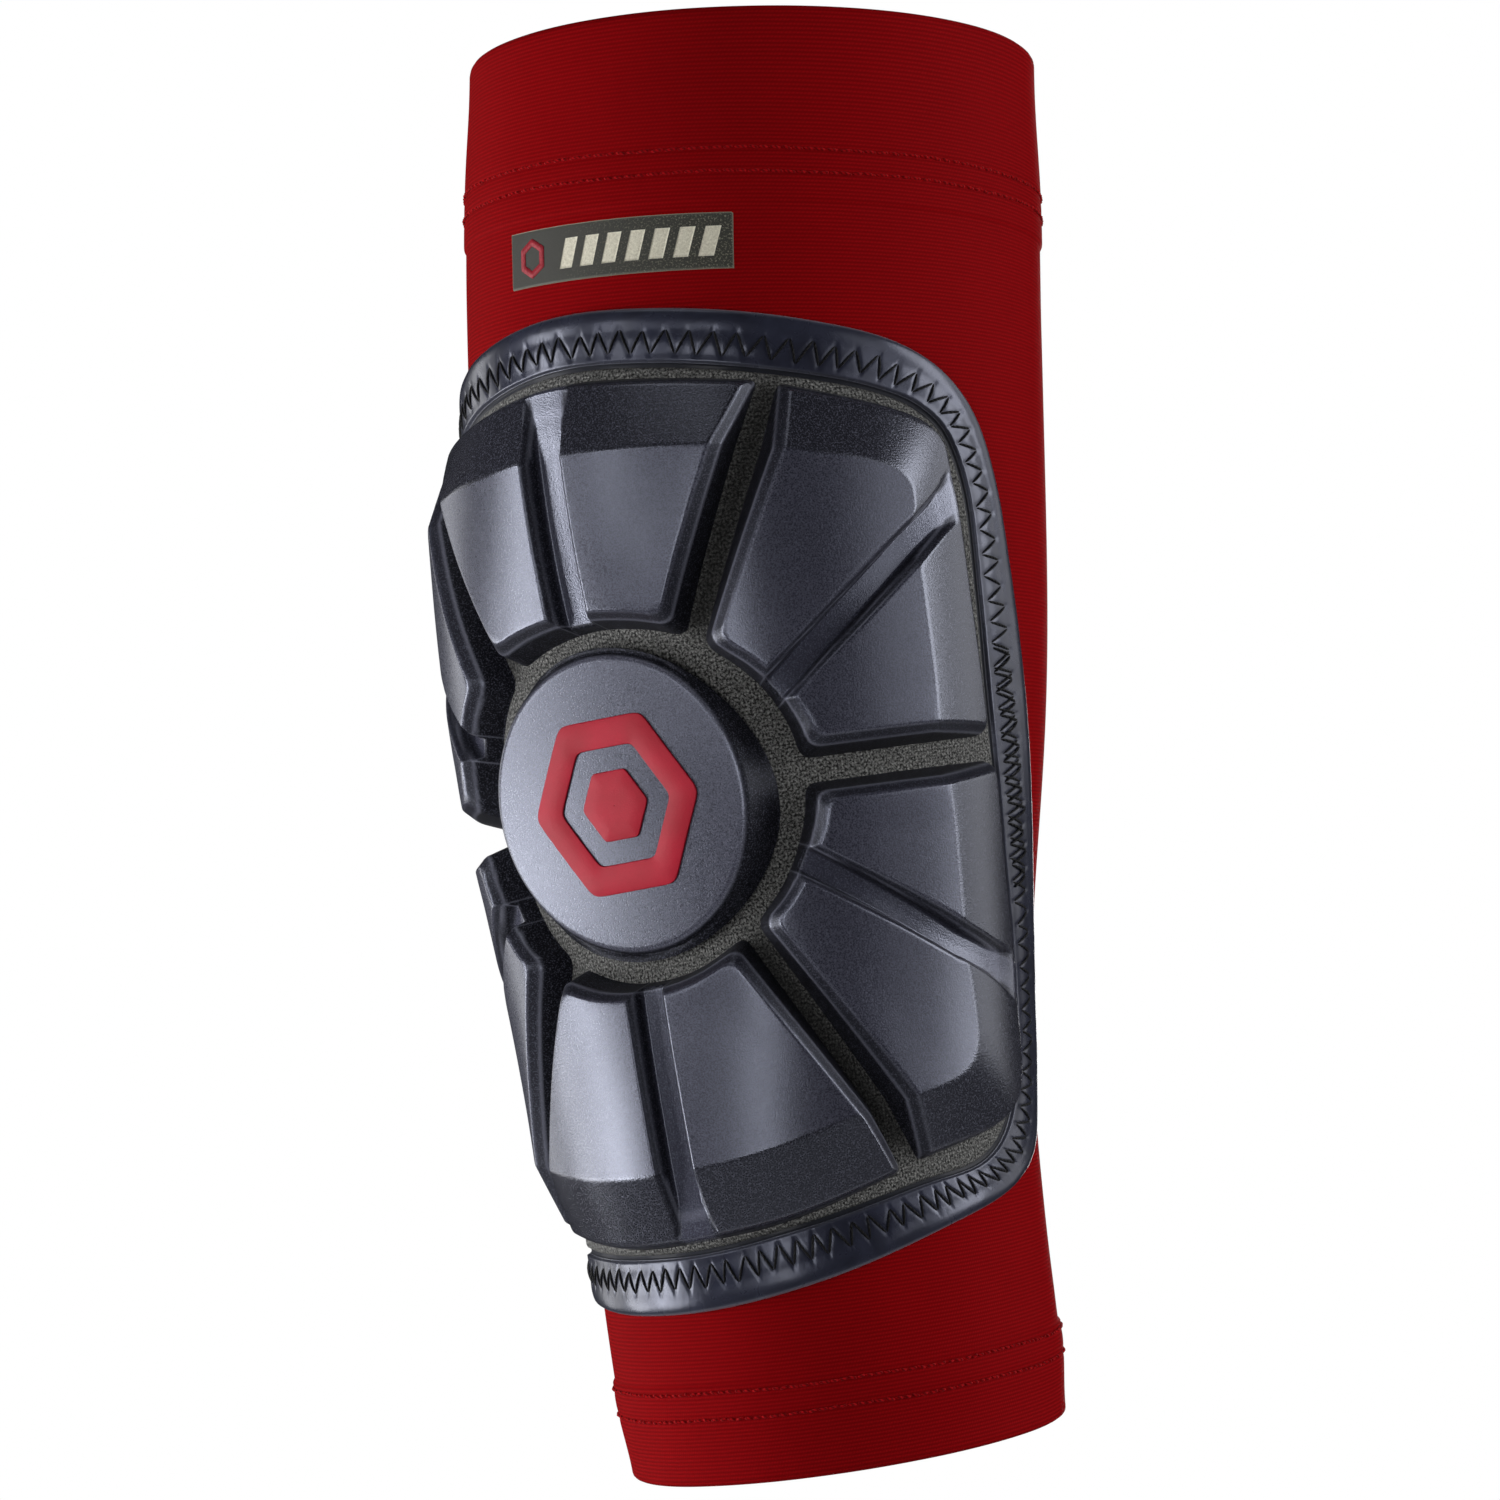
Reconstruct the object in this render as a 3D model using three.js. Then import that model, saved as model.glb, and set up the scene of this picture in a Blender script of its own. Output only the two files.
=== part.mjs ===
// Pull-on elbow and forearm guard: an elastic knit sleeve on a slightly bent arm, with a segmented
// moulded pad sewn to the outside of the elbow. Units are millimetres, +Z runs up the arm towards the
// shoulder, -Y is the side the pad faces, and the origin is on the arm's centreline at the pad's centre.
import * as THREE from 'three';
import { mergeVertices } from 'three/addons/utils/BufferGeometryUtils.js';

// ---- sleeve -----------------------------------------------------------------------------------
const SLEEVE_TOP = 137.5;          // distance along the centreline from the pad centre to the top edge
const SLEEVE_BOTTOM = -121.5;
const BEND_PER_MM = THREE.MathUtils.degToRad(0.06);   // the arm's centreline is one long arc
const RADIUS_MID = 48.2;           // sleeve radius halfway down the taper
const RADIUS_STEP = 6.2;           // half the difference between upper arm and forearm radius
const TAPER_AT = -12.6, TAPER_LENGTH = 41;
const ARM_OVAL = 0.98;             // width across X over depth along Y, as a square root
const ELBOW_FLAT = 6.6;            // how far the stiff centre disc presses the soft arm flat
const ELBOW_FLAT_U = 20, ELBOW_FLAT_V = 34;
const FABRIC = 1.2;                // knit thickness
const FOLD_ZONE = 22;              // half length of the stretch zone that takes the elbow's bend
const FACING_GAP = 0.3;
const UPPER_HEM_DEPTH = 34, LOWER_HEM_DEPTH = 18.7;
const UPPER_HEM_ROWS = [113.4, 109.2], LOWER_HEM_ROWS = [-104.6, -109.4];
const AROUND = 40;                 // facets round the sleeve

// ---- pad --------------------------------------------------------------------------------------
// Pad positions are [u, v]: u is the arc round the arm at PAD_RADIUS, v the distance along it.
const PAD_RADIUS = 50;
const PAD_TURN = THREE.MathUtils.degToRad(4.2);       // the pad sits slightly turned on the sleeve
const SKIN_BASE = 0.9, SKIN_TOP = 1.6;                // textile backing and edge film
const BLOCK_BASE = 2.6, BLOCK_TOP = 9.0;              // moulded petals
const CREASE_FLOOR = 4.6, BEVEL_FOOT = 4.4;
const WALL_DRAFT = 2.1, SIDE_DRAFT = 3.2, FOOT_INSET = 1.4;
const LONG_CREASE_HALF = 4.4, CORNER_CREASE_HALF = 3.6, CREASE_WALL = 1.5;
const SHELL = 1.2, CORE_GAP = 0.35;
const DISC_PLANE = 52.3;           // the disc's flat face, measured from the arm's centreline
const DISC_LEAN = THREE.MathUtils.degToRad(7);         // the face looks slightly down the forearm
const DISC_RADIUS = 28.1, DISC_FOOT = 29.8, DISC_FILLET = 2.2;
const EMBLEM_OUTER = 18.6, EMBLEM_INNER = 12.4, EMBLEM_CENTRE = 7.4, EMBLEM_RISE = 0.5;
const ZIGZAG_TEETH = 150, ZIGZAG_HALF = 0.45;

// Edge film, right half, top centre to bottom centre: outer [u, v] then inner [u, v].
const FILM = [
  [0, 86, 0, 77.8], [22, 84.1, 20, 76], [44.5, 79.9, 42.5, 71.7], [62, 74.6, 57.3, 67.8],
  [71, 68.8, 65, 64.4], [77, 61, 70.2, 59.6], [81, 49, 74, 49], [84, 30, 75.3, 29],
  [87, 10, 76.4, 9], [91.5, -18, 79.8, -18], [95.5, -45, 83.8, -45], [94.5, -62, 82.3, -61],
  [88.5, -75, 76.3, -70.8], [77, -80.6, 67.5, -75.6], [51, -84.9, 49, -77.2],
  [25, -88.6, 23.5, -80], [0, -90, 0, -81.3],
];
// Petals: ribs from one side gap over the crease to the other, each [inner], [bevel start], [outer].
const TOP_HALF = [
  [[19, 26.7], [31.8, 58.2], [36.8, 69.6]], [[10, 29.3], [15.5, 59.4], [17.5, 72.3]],
  [[0, 30.4], [0, 60.2], [0, 73.8]],
];
const BOTTOM_HALF = [
  [[20.4, -26.2], [39.6, -59.8], [44.4, -72.8]], [[10, -30.1], [17, -63.6], [20, -77.1]],
  [[0, -31.2], [0, -64.6], [0, -77.9]],
];
const UPPER_SIDE = [
  [[21.6, 24.9], [35.6, 57.4], [39.6, 68.9]], [[28, 19.2], [55.8, 50.8], [64.5, 60.3]],
  [[31.8, 14.3], [57.2, 38.3], [68.9, 48]], [[34.4, 8.6], [57.8, 21], [70.6, 25]],
  [[35.8, 2.5], [58.2, 2.5], [72.4, 2.5]],
];
const LOWER_SIDE = [
  [[35.8, -1.5], [59, -1.6], [73.9, -1.8]], [[34.9, -7.5], [59.6, -16], [75.8, -20]],
  [[32.2, -14], [59.8, -33.6], [78.3, -43.5]], [[28.5, -19.3], [59.6, -54.2], [75.5, -66]],
  [[22.9, -24.5], [43.5, -60.2], [48.3, -71.8]],
];

// ---- the surface everything lies on -------------------------------------------------------------
const radiusAt = (s) => RADIUS_MID + RADIUS_STEP * Math.tanh((s - TAPER_AT) / TAPER_LENGTH);

const padToSleeve = (u, v) => ({
  phi: (u * Math.cos(PAD_TURN) - v * Math.sin(PAD_TURN)) / PAD_RADIUS,
  s: u * Math.sin(PAD_TURN) + v * Math.cos(PAD_TURN),
});

// Depth of the flattened patch under the disc.
function elbowFlat(phi, s) {
  const arc = Math.atan2(Math.sin(phi), Math.cos(phi)) * PAD_RADIUS;
  const u = arc * Math.cos(PAD_TURN) + s * Math.sin(PAD_TURN);
  const v = s * Math.cos(PAD_TURN) - arc * Math.sin(PAD_TURN);
  return ELBOW_FLAT * Math.exp(-((u / ELBOW_FLAT_U) ** 2) - (v / ELBOW_FLAT_V) ** 2);
}

// A point at angle phi round the arm (0 faces -Y), distance s along it and height h off the knit.
function onSleeve(phi, s, h) {
  const tilt = BEND_PER_MM * s;
  const lift = h - elbowFlat(phi, s);
  const x = (radiusAt(s) * ARM_OVAL + lift) * Math.sin(phi);
  const n = -(radiusAt(s) / ARM_OVAL + lift) * Math.cos(phi);
  const y = (1 - Math.cos(tilt)) / BEND_PER_MM, z = Math.sin(tilt) / BEND_PER_MM;
  return new THREE.Vector3(x, y + n * Math.cos(tilt), z - n * Math.sin(tilt));
}

const onPad = (u, v, h) => {
  const { phi, s } = padToSleeve(u, v);
  return onSleeve(phi, s, h);
};

// ---- solids from grids --------------------------------------------------------------------------
function solid(points, faces) {
  const geometry = new THREE.BufferGeometry();
  const position = new Float32Array(points.flatMap((p) => [p.x, p.y, p.z]));
  geometry.setAttribute('position', new THREE.BufferAttribute(position, 3));
  geometry.setIndex(faces.flat());
  const merged = mergeVertices(geometry, 1e-3);
  const index = merged.index.array, kept = [];
  for (let i = 0; i < index.length; i += 3) {
    const [a, b, c] = [index[i], index[i + 1], index[i + 2]];
    if (a !== b && b !== c && c !== a) kept.push(a, b, c);
  }
  merged.setIndex(kept);
  if (signedVolume(merged) < 0) {
    for (let i = 0; i < kept.length; i += 3) [kept[i], kept[i + 1]] = [kept[i + 1], kept[i]];
    merged.setIndex(kept);
  }
  merged.computeVertexNormals();
  return merged;
}

function signedVolume(geometry) {
  const p = geometry.attributes.position, index = geometry.index.array;
  const [a, b, c] = [new THREE.Vector3(), new THREE.Vector3(), new THREE.Vector3()];
  let volume = 0;
  for (let i = 0; i < index.length; i += 3) {
    a.fromBufferAttribute(p, index[i]);
    b.fromBufferAttribute(p, index[i + 1]);
    c.fromBufferAttribute(p, index[i + 2]);
    volume += a.dot(b.cross(c)) / 6;
  }
  return volume;
}

// A closed solid between two sheets with the same grid. loop joins the last column to the first.
function betweenSheets(outer, inner, loop = false) {
  const columns = outer.length, rows = outer[0].length;
  const points = [...outer.flat(), ...inner.flat()], faces = [];
  const id = (side, i, j) => side * columns * rows + (i % columns) * rows + j;
  const quad = (a, b, c, d) => faces.push([a, b, c], [a, c, d]);
  for (let i = 0; i < columns - (loop ? 0 : 1); i++) {
    for (let j = 0; j < rows - 1; j++) {
      quad(id(0, i, j), id(0, i + 1, j), id(0, i + 1, j + 1), id(0, i, j + 1));
      quad(id(1, i, j), id(1, i, j + 1), id(1, i + 1, j + 1), id(1, i + 1, j));
    }
    for (const [j, flip] of [[0, false], [rows - 1, true]]) {
      const edge = [id(0, i, j), id(1, i, j), id(1, i + 1, j), id(0, i + 1, j)];
      quad(...(flip ? edge.reverse() : edge));
    }
  }
  if (!loop) {
    for (const [i, flip] of [[0, true], [columns - 1, false]]) {
      for (let j = 0; j < rows - 1; j++) {
        const edge = [id(0, i, j), id(1, i, j), id(1, i, j + 1), id(0, i, j + 1)];
        quad(...(flip ? edge.reverse() : edge));
      }
    }
  }
  return solid(points, faces);
}

const steps = (from, to, count) => Array.from({ length: count + 1 }, (_, i) => from + (to - from) * i / count);

// A tube of the sleeve between two stations and two heights.
function sleeveTube(low, high, bottom, top, rings) {
  const sheet = (h) => steps(0, 2 * Math.PI, AROUND).slice(0, -1)
    .map((phi) => steps(bottom, top, rings).map((s) => onSleeve(phi, s, h)));
  return betweenSheets(sheet(high), sheet(low), true);
}

// A patch of the sleeve's surface between two angles in degrees and two stations.
function sleevePatch(low, high, fromDeg, toDeg, bottom, top, across, along) {
  const sheet = (h) => steps(fromDeg, toDeg, across).map((deg) =>
    steps(bottom, top, along).map((s) => onSleeve(THREE.MathUtils.degToRad(deg), s, h)));
  return betweenSheets(sheet(high), sheet(low));
}

// ---- pad outline --------------------------------------------------------------------------------
const filmPairs = [...FILM, ...FILM.slice(1, -1).reverse().map(([a, b, c, d]) => [-a, b, -c, d])];
const closedCurve = (column) => new THREE.CatmullRomCurve3(
  filmPairs.map((row) => new THREE.Vector3(row[column], row[column + 1], 0)), true, 'centripetal');
const filmOuter = closedCurve(0), filmInner = closedCurve(2);
// The point at fraction t round the film and fraction f from its outer to its inner edge.
const onFilm = (t, f) => filmOuter.getPoint(t % 1).lerp(filmInner.getPoint(t % 1), f);

function filmBorder() {
  const sheet = (h) => steps(0, 1, 64).slice(0, -1).map((t) => [0, 1].map((f) => {
    const p = onFilm(t, f);
    return onPad(p.x, p.y, h);
  }));
  return betweenSheets(sheet(SKIN_TOP), sheet(SKIN_BASE), true);
}

// The textile backing fills the film's inner edge; rings of the same outline shrink to its middle.
function padTextile() {
  const middle = new THREE.Vector3(0, -2, 0), insets = [0.985, 0.86, 0.73, 0.6, 0.47, 0.35, 0.24, 0.12, 0];
  const sheet = (h) => steps(0, 1, 64).slice(0, -1).map((t) => insets.map((k) => {
    const p = filmInner.getPoint(t).sub(middle).multiplyScalar(k).add(middle);
    return onPad(p.x, p.y, h);
  }));
  const outer = sheet(SKIN_TOP), inner = sheet(SKIN_BASE);
  return betweenSheets(outer, inner, true);
}

// One thread zigzags round the film: a triangular strand swept along the sharp turns.
function zigzagStitch() {
  const turns = steps(0, 1, 2 * ZIGZAG_TEETH).slice(0, -1)
    .map((t, i) => onFilm(t, i % 2 ? 0.40 : 0.84));
  const strand = turns.map((p, i) => {
    const before = turns[(i + turns.length - 1) % turns.length], after = turns[(i + 1) % turns.length];
    const d1 = p.clone().sub(before).normalize(), d2 = after.clone().sub(p).normalize();
    const side = new THREE.Vector3(-d1.y - d2.y, d1.x + d2.x, 0).normalize();
    const width = ZIGZAG_HALF / Math.max(0.45, side.dot(new THREE.Vector3(-d1.y, d1.x, 0)));
    return [[-1, 1.9], [0, 2.6], [1, 1.9]].map(([k, h]) =>
      onPad(p.x + side.x * width * k, p.y + side.y * width * k, h));
  });
  const faces = [], n = strand.length;
  for (let i = 0; i < n; i++) {
    for (let k = 0; k < 3; k++) {
      const [a, b] = [i * 3 + k, i * 3 + (k + 1) % 3];
      const [c, d] = [((i + 1) % n) * 3 + (k + 1) % 3, ((i + 1) % n) * 3 + k];
      faces.push([a, b, c], [a, c, d]);
    }
  }
  return solid(strand.flat(), faces);
}

// ---- petals -------------------------------------------------------------------------------------
const mirrored = (ribs) => ribs.map((rib) => rib.map(([u, v]) => [-u, v]));
const bothHalves = (half) => [...half, ...mirrored(half).reverse().slice(1)];

const lerp2 = (p, q, t) => [p[0] + (q[0] - p[0]) * t, p[1] + (q[1] - p[1]) * t];
const gap2 = (p, q) => Math.hypot(q[0] - p[0], q[1] - p[1]);

// a counts ribs across the petal, b runs 0 to 1 up to the bevel and 1 to 2 down it.
function petalPoint(ribs, a, b) {
  const i = Math.min(Math.floor(a), ribs.length - 2), j = Math.min(Math.floor(b), 1);
  const along = (rib) => lerp2(rib[j], rib[j + 1], b - j);
  return lerp2(along(ribs[i]), along(ribs[i + 1]), a - i);
}

// Grid lines of a petal inset by a distance, so that shell and core nest in each other.
function petalLines({ ribs, creaseHalf }, inset) {
  const wall = WALL_DRAFT + inset, side = SIDE_DRAFT + inset, half = creaseHalf + inset * 0.5;
  const across = (b) => {
    const at = (a) => petalPoint(ribs, a, b);
    const mm = (rib, d) => d / gap2(at(rib), at(rib + 1));
    const left = [mm(0, side), 1, 2 - mm(1, half)], right = [2 + mm(2, half), 3, 4 - mm(3, side)];
    const withMiddles = (list) => list.flatMap((a, i) => (i ? [(a + list[i - 1]) / 2, a] : [a]));
    return [mm(0, inset), ...withMiddles(left), 2 - mm(1, half - CREASE_WALL),
      2 + mm(2, half - CREASE_WALL), ...withMiddles(right), 4 - mm(3, inset)];
  };
  const length1 = gap2(petalPoint(ribs, 1, 0), petalPoint(ribs, 1, 1));
  const length2 = gap2(petalPoint(ribs, 1, 1), petalPoint(ribs, 1, 2));
  const along = [inset / length1, wall / length1, 0.5, 1, 1.5,
    2 - (FOOT_INSET + inset) / length2, 2 - inset / length2];
  return { across, along };
}

const CREASE_LINES = [6, 7];

// height(b, i, rim) gives each grid point's height over the knit.
function petalSheet(petal, inset, height) {
  const { across, along } = petalLines(petal, inset);
  const last = across(0).length - 1;
  return across(0).map((_, i) => along.map((b, j) => {
    const [u, v] = petalPoint(petal.ribs, across(b)[i], b);
    const rim = i === 0 || i === last || j === 0 || j === along.length - 1;
    return onPad(u, v, rim ? BLOCK_BASE : height(b, i));
  }));
}

// The moulded top: plateau, bevel and blind crease, lowered by drop for the inner faces.
const mouldedTop = (drop) => (b, i) => {
  const bevel = BLOCK_TOP - (BLOCK_TOP - BEVEL_FOOT) * Math.max(0, b - 1);
  const top = CREASE_LINES.includes(i) ? Math.min(bevel, CREASE_FLOOR) : bevel;
  return Math.max(BLOCK_BASE + 0.2, top - drop);
};

function petalShell(petal) {
  return betweenSheets(petalSheet(petal, 0, mouldedTop(0)), petalSheet(petal, SHELL, mouldedTop(SHELL)));
}

function petalCore(petal) {
  const inset = SHELL + CORE_GAP;
  return betweenSheets(petalSheet(petal, inset, mouldedTop(inset)),
    petalSheet(petal, inset, () => BLOCK_BASE));
}

// ---- disc ---------------------------------------------------------------------------------------
// Where a line along Y at (x, z) meets the surface at height h.
function underDisc(x, z, h) {
  let s = z, phi = 0;
  for (let i = 0; i < 12; i++) {
    phi = Math.asin(x / (radiusAt(s) * ARM_OVAL + h - elbowFlat(phi, s)));
    s += z - onSleeve(phi, s, h).z;
  }
  return onSleeve(phi, s, h);
}

// The disc's own frame: its face leans over by DISC_LEAN and is turned with the pad.
const discNormal = new THREE.Vector3(0, -Math.cos(DISC_LEAN), -Math.sin(DISC_LEAN));
const discFrame = new THREE.Matrix4().makeBasis(
  new THREE.Vector3(1, 0, 0), new THREE.Vector3(0, -Math.sin(DISC_LEAN), Math.cos(DISC_LEAN)),
  discNormal.clone()).multiply(new THREE.Matrix4().makeRotationZ(PAD_TURN));
discFrame.setPosition(0, -DISC_PLANE, 0);

// A point of the disc at radius r, depth below its face, or on the pad's surface when depth is null.
function discPoint(r, angle, depth) {
  const p = new THREE.Vector3(r * Math.cos(angle), r * Math.sin(angle), -(depth ?? 0));
  p.applyMatrix4(discFrame);
  return depth === null ? underDisc(p.x, p.z, BLOCK_BASE) : p;
}

function discSheet(shrink, drop) {
  const profile = [[0, 0], [DISC_RADIUS - DISC_FILLET, 0], [DISC_RADIUS, DISC_FILLET * 0.45]];
  const angles = steps(0, 2 * Math.PI, 36).slice(0, -1);
  return angles.map((angle) => [
    ...profile.map(([r, d]) => discPoint(r === 0 ? 0 : r - shrink, angle, d + drop)),
    discPoint(DISC_FOOT - shrink, angle, null),
  ]);
}

function discFloor(shrink) {
  const radii = [0, 9, 19, DISC_FOOT - shrink];
  return steps(0, 2 * Math.PI, 36).slice(0, -1).map((angle) => radii.map((r) => discPoint(r, angle, null)));
}

// A prism standing on the disc's flat face from a closed outline, with an optional hole.
function raised(outline, hole, clearance, rise) {
  const shape = new THREE.Shape(outline.map(([x, y]) => new THREE.Vector2(x, y)));
  if (hole) shape.holes.push(new THREE.Path(hole.map(([x, y]) => new THREE.Vector2(x, y))));
  const geometry = new THREE.ExtrudeGeometry(shape, { depth: rise, bevelEnabled: false });
  return geometry.translate(0, 0, clearance).applyMatrix4(discFrame);
}

const hexagon = (r) => steps(0, 5, 5).map((i) => {
  const angle = i * Math.PI / 3;
  return [r * Math.cos(angle), r * Math.sin(angle)];
});

// ---- assembly -----------------------------------------------------------------------------------
const KNIT = { color: 0x9a0a10, roughness: 0.85, metalness: 0 };
const THREAD = { color: 0x7d0a0e, roughness: 0.9, metalness: 0 };
const FILM_LOOK = { color: 0x2e3040, roughness: 0.25, metalness: 0 };
const BLACK_THREAD = { color: 0x0c0c0f, roughness: 0.7, metalness: 0 };
const TEXTILE = { color: 0x6c6a60, roughness: 0.95, metalness: 0 };
const SATIN = { color: 0x565866, roughness: 0.45, metalness: 0 };
const FOAM = { color: 0xd9c84a, roughness: 0.9, metalness: 0 };
const RED_INLAY = { color: 0xb01626, roughness: 0.5, metalness: 0 };
const LABEL = { color: 0x33332c, roughness: 0.6, metalness: 0 };
const LABEL_PRINT = { color: 0xd9d4bd, roughness: 0.6, metalness: 0 };

const group = new THREE.Group();
function add(name, geometry, look) {
  const mesh = new THREE.Mesh(geometry, new THREE.MeshStandardMaterial(look));
  mesh.name = name;
  group.add(mesh);
}

add('sleeve_upper', sleeveTube(-FABRIC, 0, FOLD_ZONE + 0.4, SLEEVE_TOP, 9), KNIT);
add('sleeve_elbow', sleeveTube(-FABRIC, 0, -FOLD_ZONE, FOLD_ZONE, 6), KNIT);
add('sleeve_lower', sleeveTube(-FABRIC, 0, SLEEVE_BOTTOM, -FOLD_ZONE - 0.4, 8), KNIT);
const facingTop = -FABRIC - FACING_GAP, facingBottom = facingTop - FABRIC;
add('upper_hem_facing',
  sleeveTube(facingBottom, facingTop, SLEEVE_TOP - UPPER_HEM_DEPTH, SLEEVE_TOP, 3), KNIT);
add('lower_hem_facing',
  sleeveTube(facingBottom, facingTop, SLEEVE_BOTTOM, SLEEVE_BOTTOM + LOWER_HEM_DEPTH, 2), KNIT);
UPPER_HEM_ROWS.forEach((s, i) =>
  add(`upper_hem_stitch_row_${i + 1}`, sleeveTube(0.3, 0.8, s - 0.5, s + 0.5, 1), THREAD));
LOWER_HEM_ROWS.forEach((s, i) =>
  add(`lower_hem_stitch_row_${i + 1}`, sleeveTube(0.3, 0.8, s - 0.5, s + 0.5, 1), THREAD));
add('back_seam', sleevePatch(1.1, 1.7, 177, 183, SLEEVE_BOTTOM, SLEEVE_TOP, 1, 18), THREAD);

add('pad_textile', padTextile(), TEXTILE);
add('edge_film', filmBorder(), FILM_LOOK);
add('zigzag_stitch', zigzagStitch(), BLACK_THREAD);

const petals = {
  petal_top: { ribs: bothHalves(TOP_HALF), creaseHalf: LONG_CREASE_HALF },
  petal_upper_right: { ribs: UPPER_SIDE, creaseHalf: CORNER_CREASE_HALF },
  petal_upper_left: { ribs: mirrored(UPPER_SIDE), creaseHalf: CORNER_CREASE_HALF },
  petal_lower_right: { ribs: LOWER_SIDE, creaseHalf: CORNER_CREASE_HALF },
  petal_lower_left: { ribs: mirrored(LOWER_SIDE), creaseHalf: CORNER_CREASE_HALF },
  petal_bottom: { ribs: bothHalves(BOTTOM_HALF), creaseHalf: LONG_CREASE_HALF },
};
for (const [name, petal] of Object.entries(petals)) {
  add(name, petalShell(petal), SATIN);
  add(`${name}_core`, petalCore(petal), FOAM);
}

add('centre_disc', betweenSheets(discSheet(0, 0), [...discSheet(SHELL, SHELL)], true), SATIN);
add('centre_disc_core',
  betweenSheets(discSheet(SHELL + CORE_GAP, SHELL + CORE_GAP), discFloor(SHELL + CORE_GAP), true), FOAM);
add('emblem_ring',
  raised(hexagon(EMBLEM_OUTER), hexagon(EMBLEM_INNER), 0.3, EMBLEM_RISE), RED_INLAY);
add('emblem_centre', raised(hexagon(EMBLEM_CENTRE), null, 0.3, EMBLEM_RISE), RED_INLAY);

add('label_patch', sleevePatch(0.5, 0.9, -20, 32, 92, 102, 8, 1), LABEL);
add('label_hexagon', sleevePatch(1.2, 1.5, -17, -8, 94, 100, 2, 1), RED_INLAY);
add('label_bars', sleevePatch(1.2, 1.5, -5, 29, 95, 99, 6, 1), LABEL_PRINT);

export default group;
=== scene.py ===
# Looks of the forearm guard: a red knit sleeve with a moulded pad sewn to the outside of the elbow.
# Lengths in this file are millimetres until a mesh is made, which turns them into metres. s runs up
# the sleeve, phi round it from the front, h off the knit; u and v are the pad's flat drawing.
import math

import bpy
import numpy as np
from mathutils import Matrix, Vector


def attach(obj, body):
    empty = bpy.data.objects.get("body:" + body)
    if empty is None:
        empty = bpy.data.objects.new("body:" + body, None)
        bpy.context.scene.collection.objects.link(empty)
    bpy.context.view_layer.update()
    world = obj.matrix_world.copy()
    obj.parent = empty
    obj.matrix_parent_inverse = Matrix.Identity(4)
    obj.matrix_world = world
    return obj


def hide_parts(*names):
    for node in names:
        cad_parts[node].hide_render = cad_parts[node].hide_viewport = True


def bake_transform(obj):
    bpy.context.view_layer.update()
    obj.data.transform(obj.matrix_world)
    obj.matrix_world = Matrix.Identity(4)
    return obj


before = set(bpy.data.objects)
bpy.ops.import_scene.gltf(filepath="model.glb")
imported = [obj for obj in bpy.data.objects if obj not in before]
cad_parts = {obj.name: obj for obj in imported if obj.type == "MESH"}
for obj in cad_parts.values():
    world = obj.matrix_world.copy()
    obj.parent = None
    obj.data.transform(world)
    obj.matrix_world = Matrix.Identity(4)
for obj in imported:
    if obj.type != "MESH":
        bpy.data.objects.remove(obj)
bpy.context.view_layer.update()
RNG = np.random.default_rng(26)

# ---- the surface that everything lies on, as in the CAD model ----
SLEEVE_TOP, SLEEVE_BOTTOM = 137.5, -121.5
RADIUS_MID, RADIUS_STEP, TAPER_AT, TAPER_LENGTH = 48.2, 6.2, 12.6, 41
BEND = math.radians(0.06)
TURN = math.radians(4.2)                 # the pad sits slightly turned on the sleeve
PAD_RADIUS = 50.0
ARM_OVAL = 0.98
ELBOW_FLAT, FLAT_U, FLAT_V = 6.6, 20.0, 34.0
# The stretched top rim stands a little higher on one side.
RIM_RISE, RIM_LOW, RIM_FROM, RIM_TO = 1.9, math.radians(34.5), 116, 142


def smooth(x, low, high):
    t = np.clip((x - low) / (high - low), 0, 1)
    return t * t * (3 - 2 * t)


def radius_at(s):
    return RADIUS_MID + RADIUS_STEP * np.tanh((s + TAPER_AT) / TAPER_LENGTH)


def elbow_flat(phi, s):
    """How much flatter the arm is where the stiff disc presses on it."""
    arc = np.arctan2(np.sin(phi), np.cos(phi)) * PAD_RADIUS
    u = arc * math.cos(TURN) + s * math.sin(TURN)
    v = s * math.cos(TURN) - arc * math.sin(TURN)
    return ELBOW_FLAT * np.exp(-((u / FLAT_U) ** 2) - (v / FLAT_V) ** 2)


def on_sleeve(phi, s, h):
    """Points at angle phi round the arm, distance s along it and height h off the knit."""
    phi, s, h = np.broadcast_arrays(np.asarray(phi, float), np.asarray(s, float), np.asarray(h, float))
    tilt = BEND * s
    lift = h - elbow_flat(phi, s)
    x = (radius_at(s) * ARM_OVAL + lift) * np.sin(phi)
    n = -(radius_at(s) / ARM_OVAL + lift) * np.cos(phi)
    y, z = (1 - np.cos(tilt)) / BEND, np.sin(tilt) / BEND
    rise = RIM_RISE * smooth(s, RIM_FROM, RIM_TO) * (1 + np.sin(phi - RIM_LOW))
    return np.stack([x, y + n * np.cos(tilt), z - n * np.sin(tilt) + rise], -1)


def on_pad(p, h):
    """Points over the places p of the pad's flat drawing, at height h off the knit."""
    u, v = p[..., 0], p[..., 1]
    phi = (u * math.cos(TURN) - v * math.sin(TURN)) / PAD_RADIUS
    return on_sleeve(phi, u * math.sin(TURN) + v * math.cos(TURN), h)


def normals_on(function, *place):
    """Outward direction of that surface at those places."""
    away = function(*place, 1.0) - function(*place, 0.0)
    return away / np.linalg.norm(away, axis=-1)[..., None]


# ---- small maths ----
def smin(a, b, k):
    """The lower of two heights, with a rounded edge of about k where they meet."""
    t = np.clip(0.5 + 0.5 * (b - a) / k, 0, 1)
    return b + (a - b) * t - k * t * (1 - t)


def smax(a, b, k):
    return -smin(-a, -b, k)


def bell(x, width):
    """1 at x = 0, falling to nothing over a few widths on either side."""
    return np.exp(-((x / width) ** 2))


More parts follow.
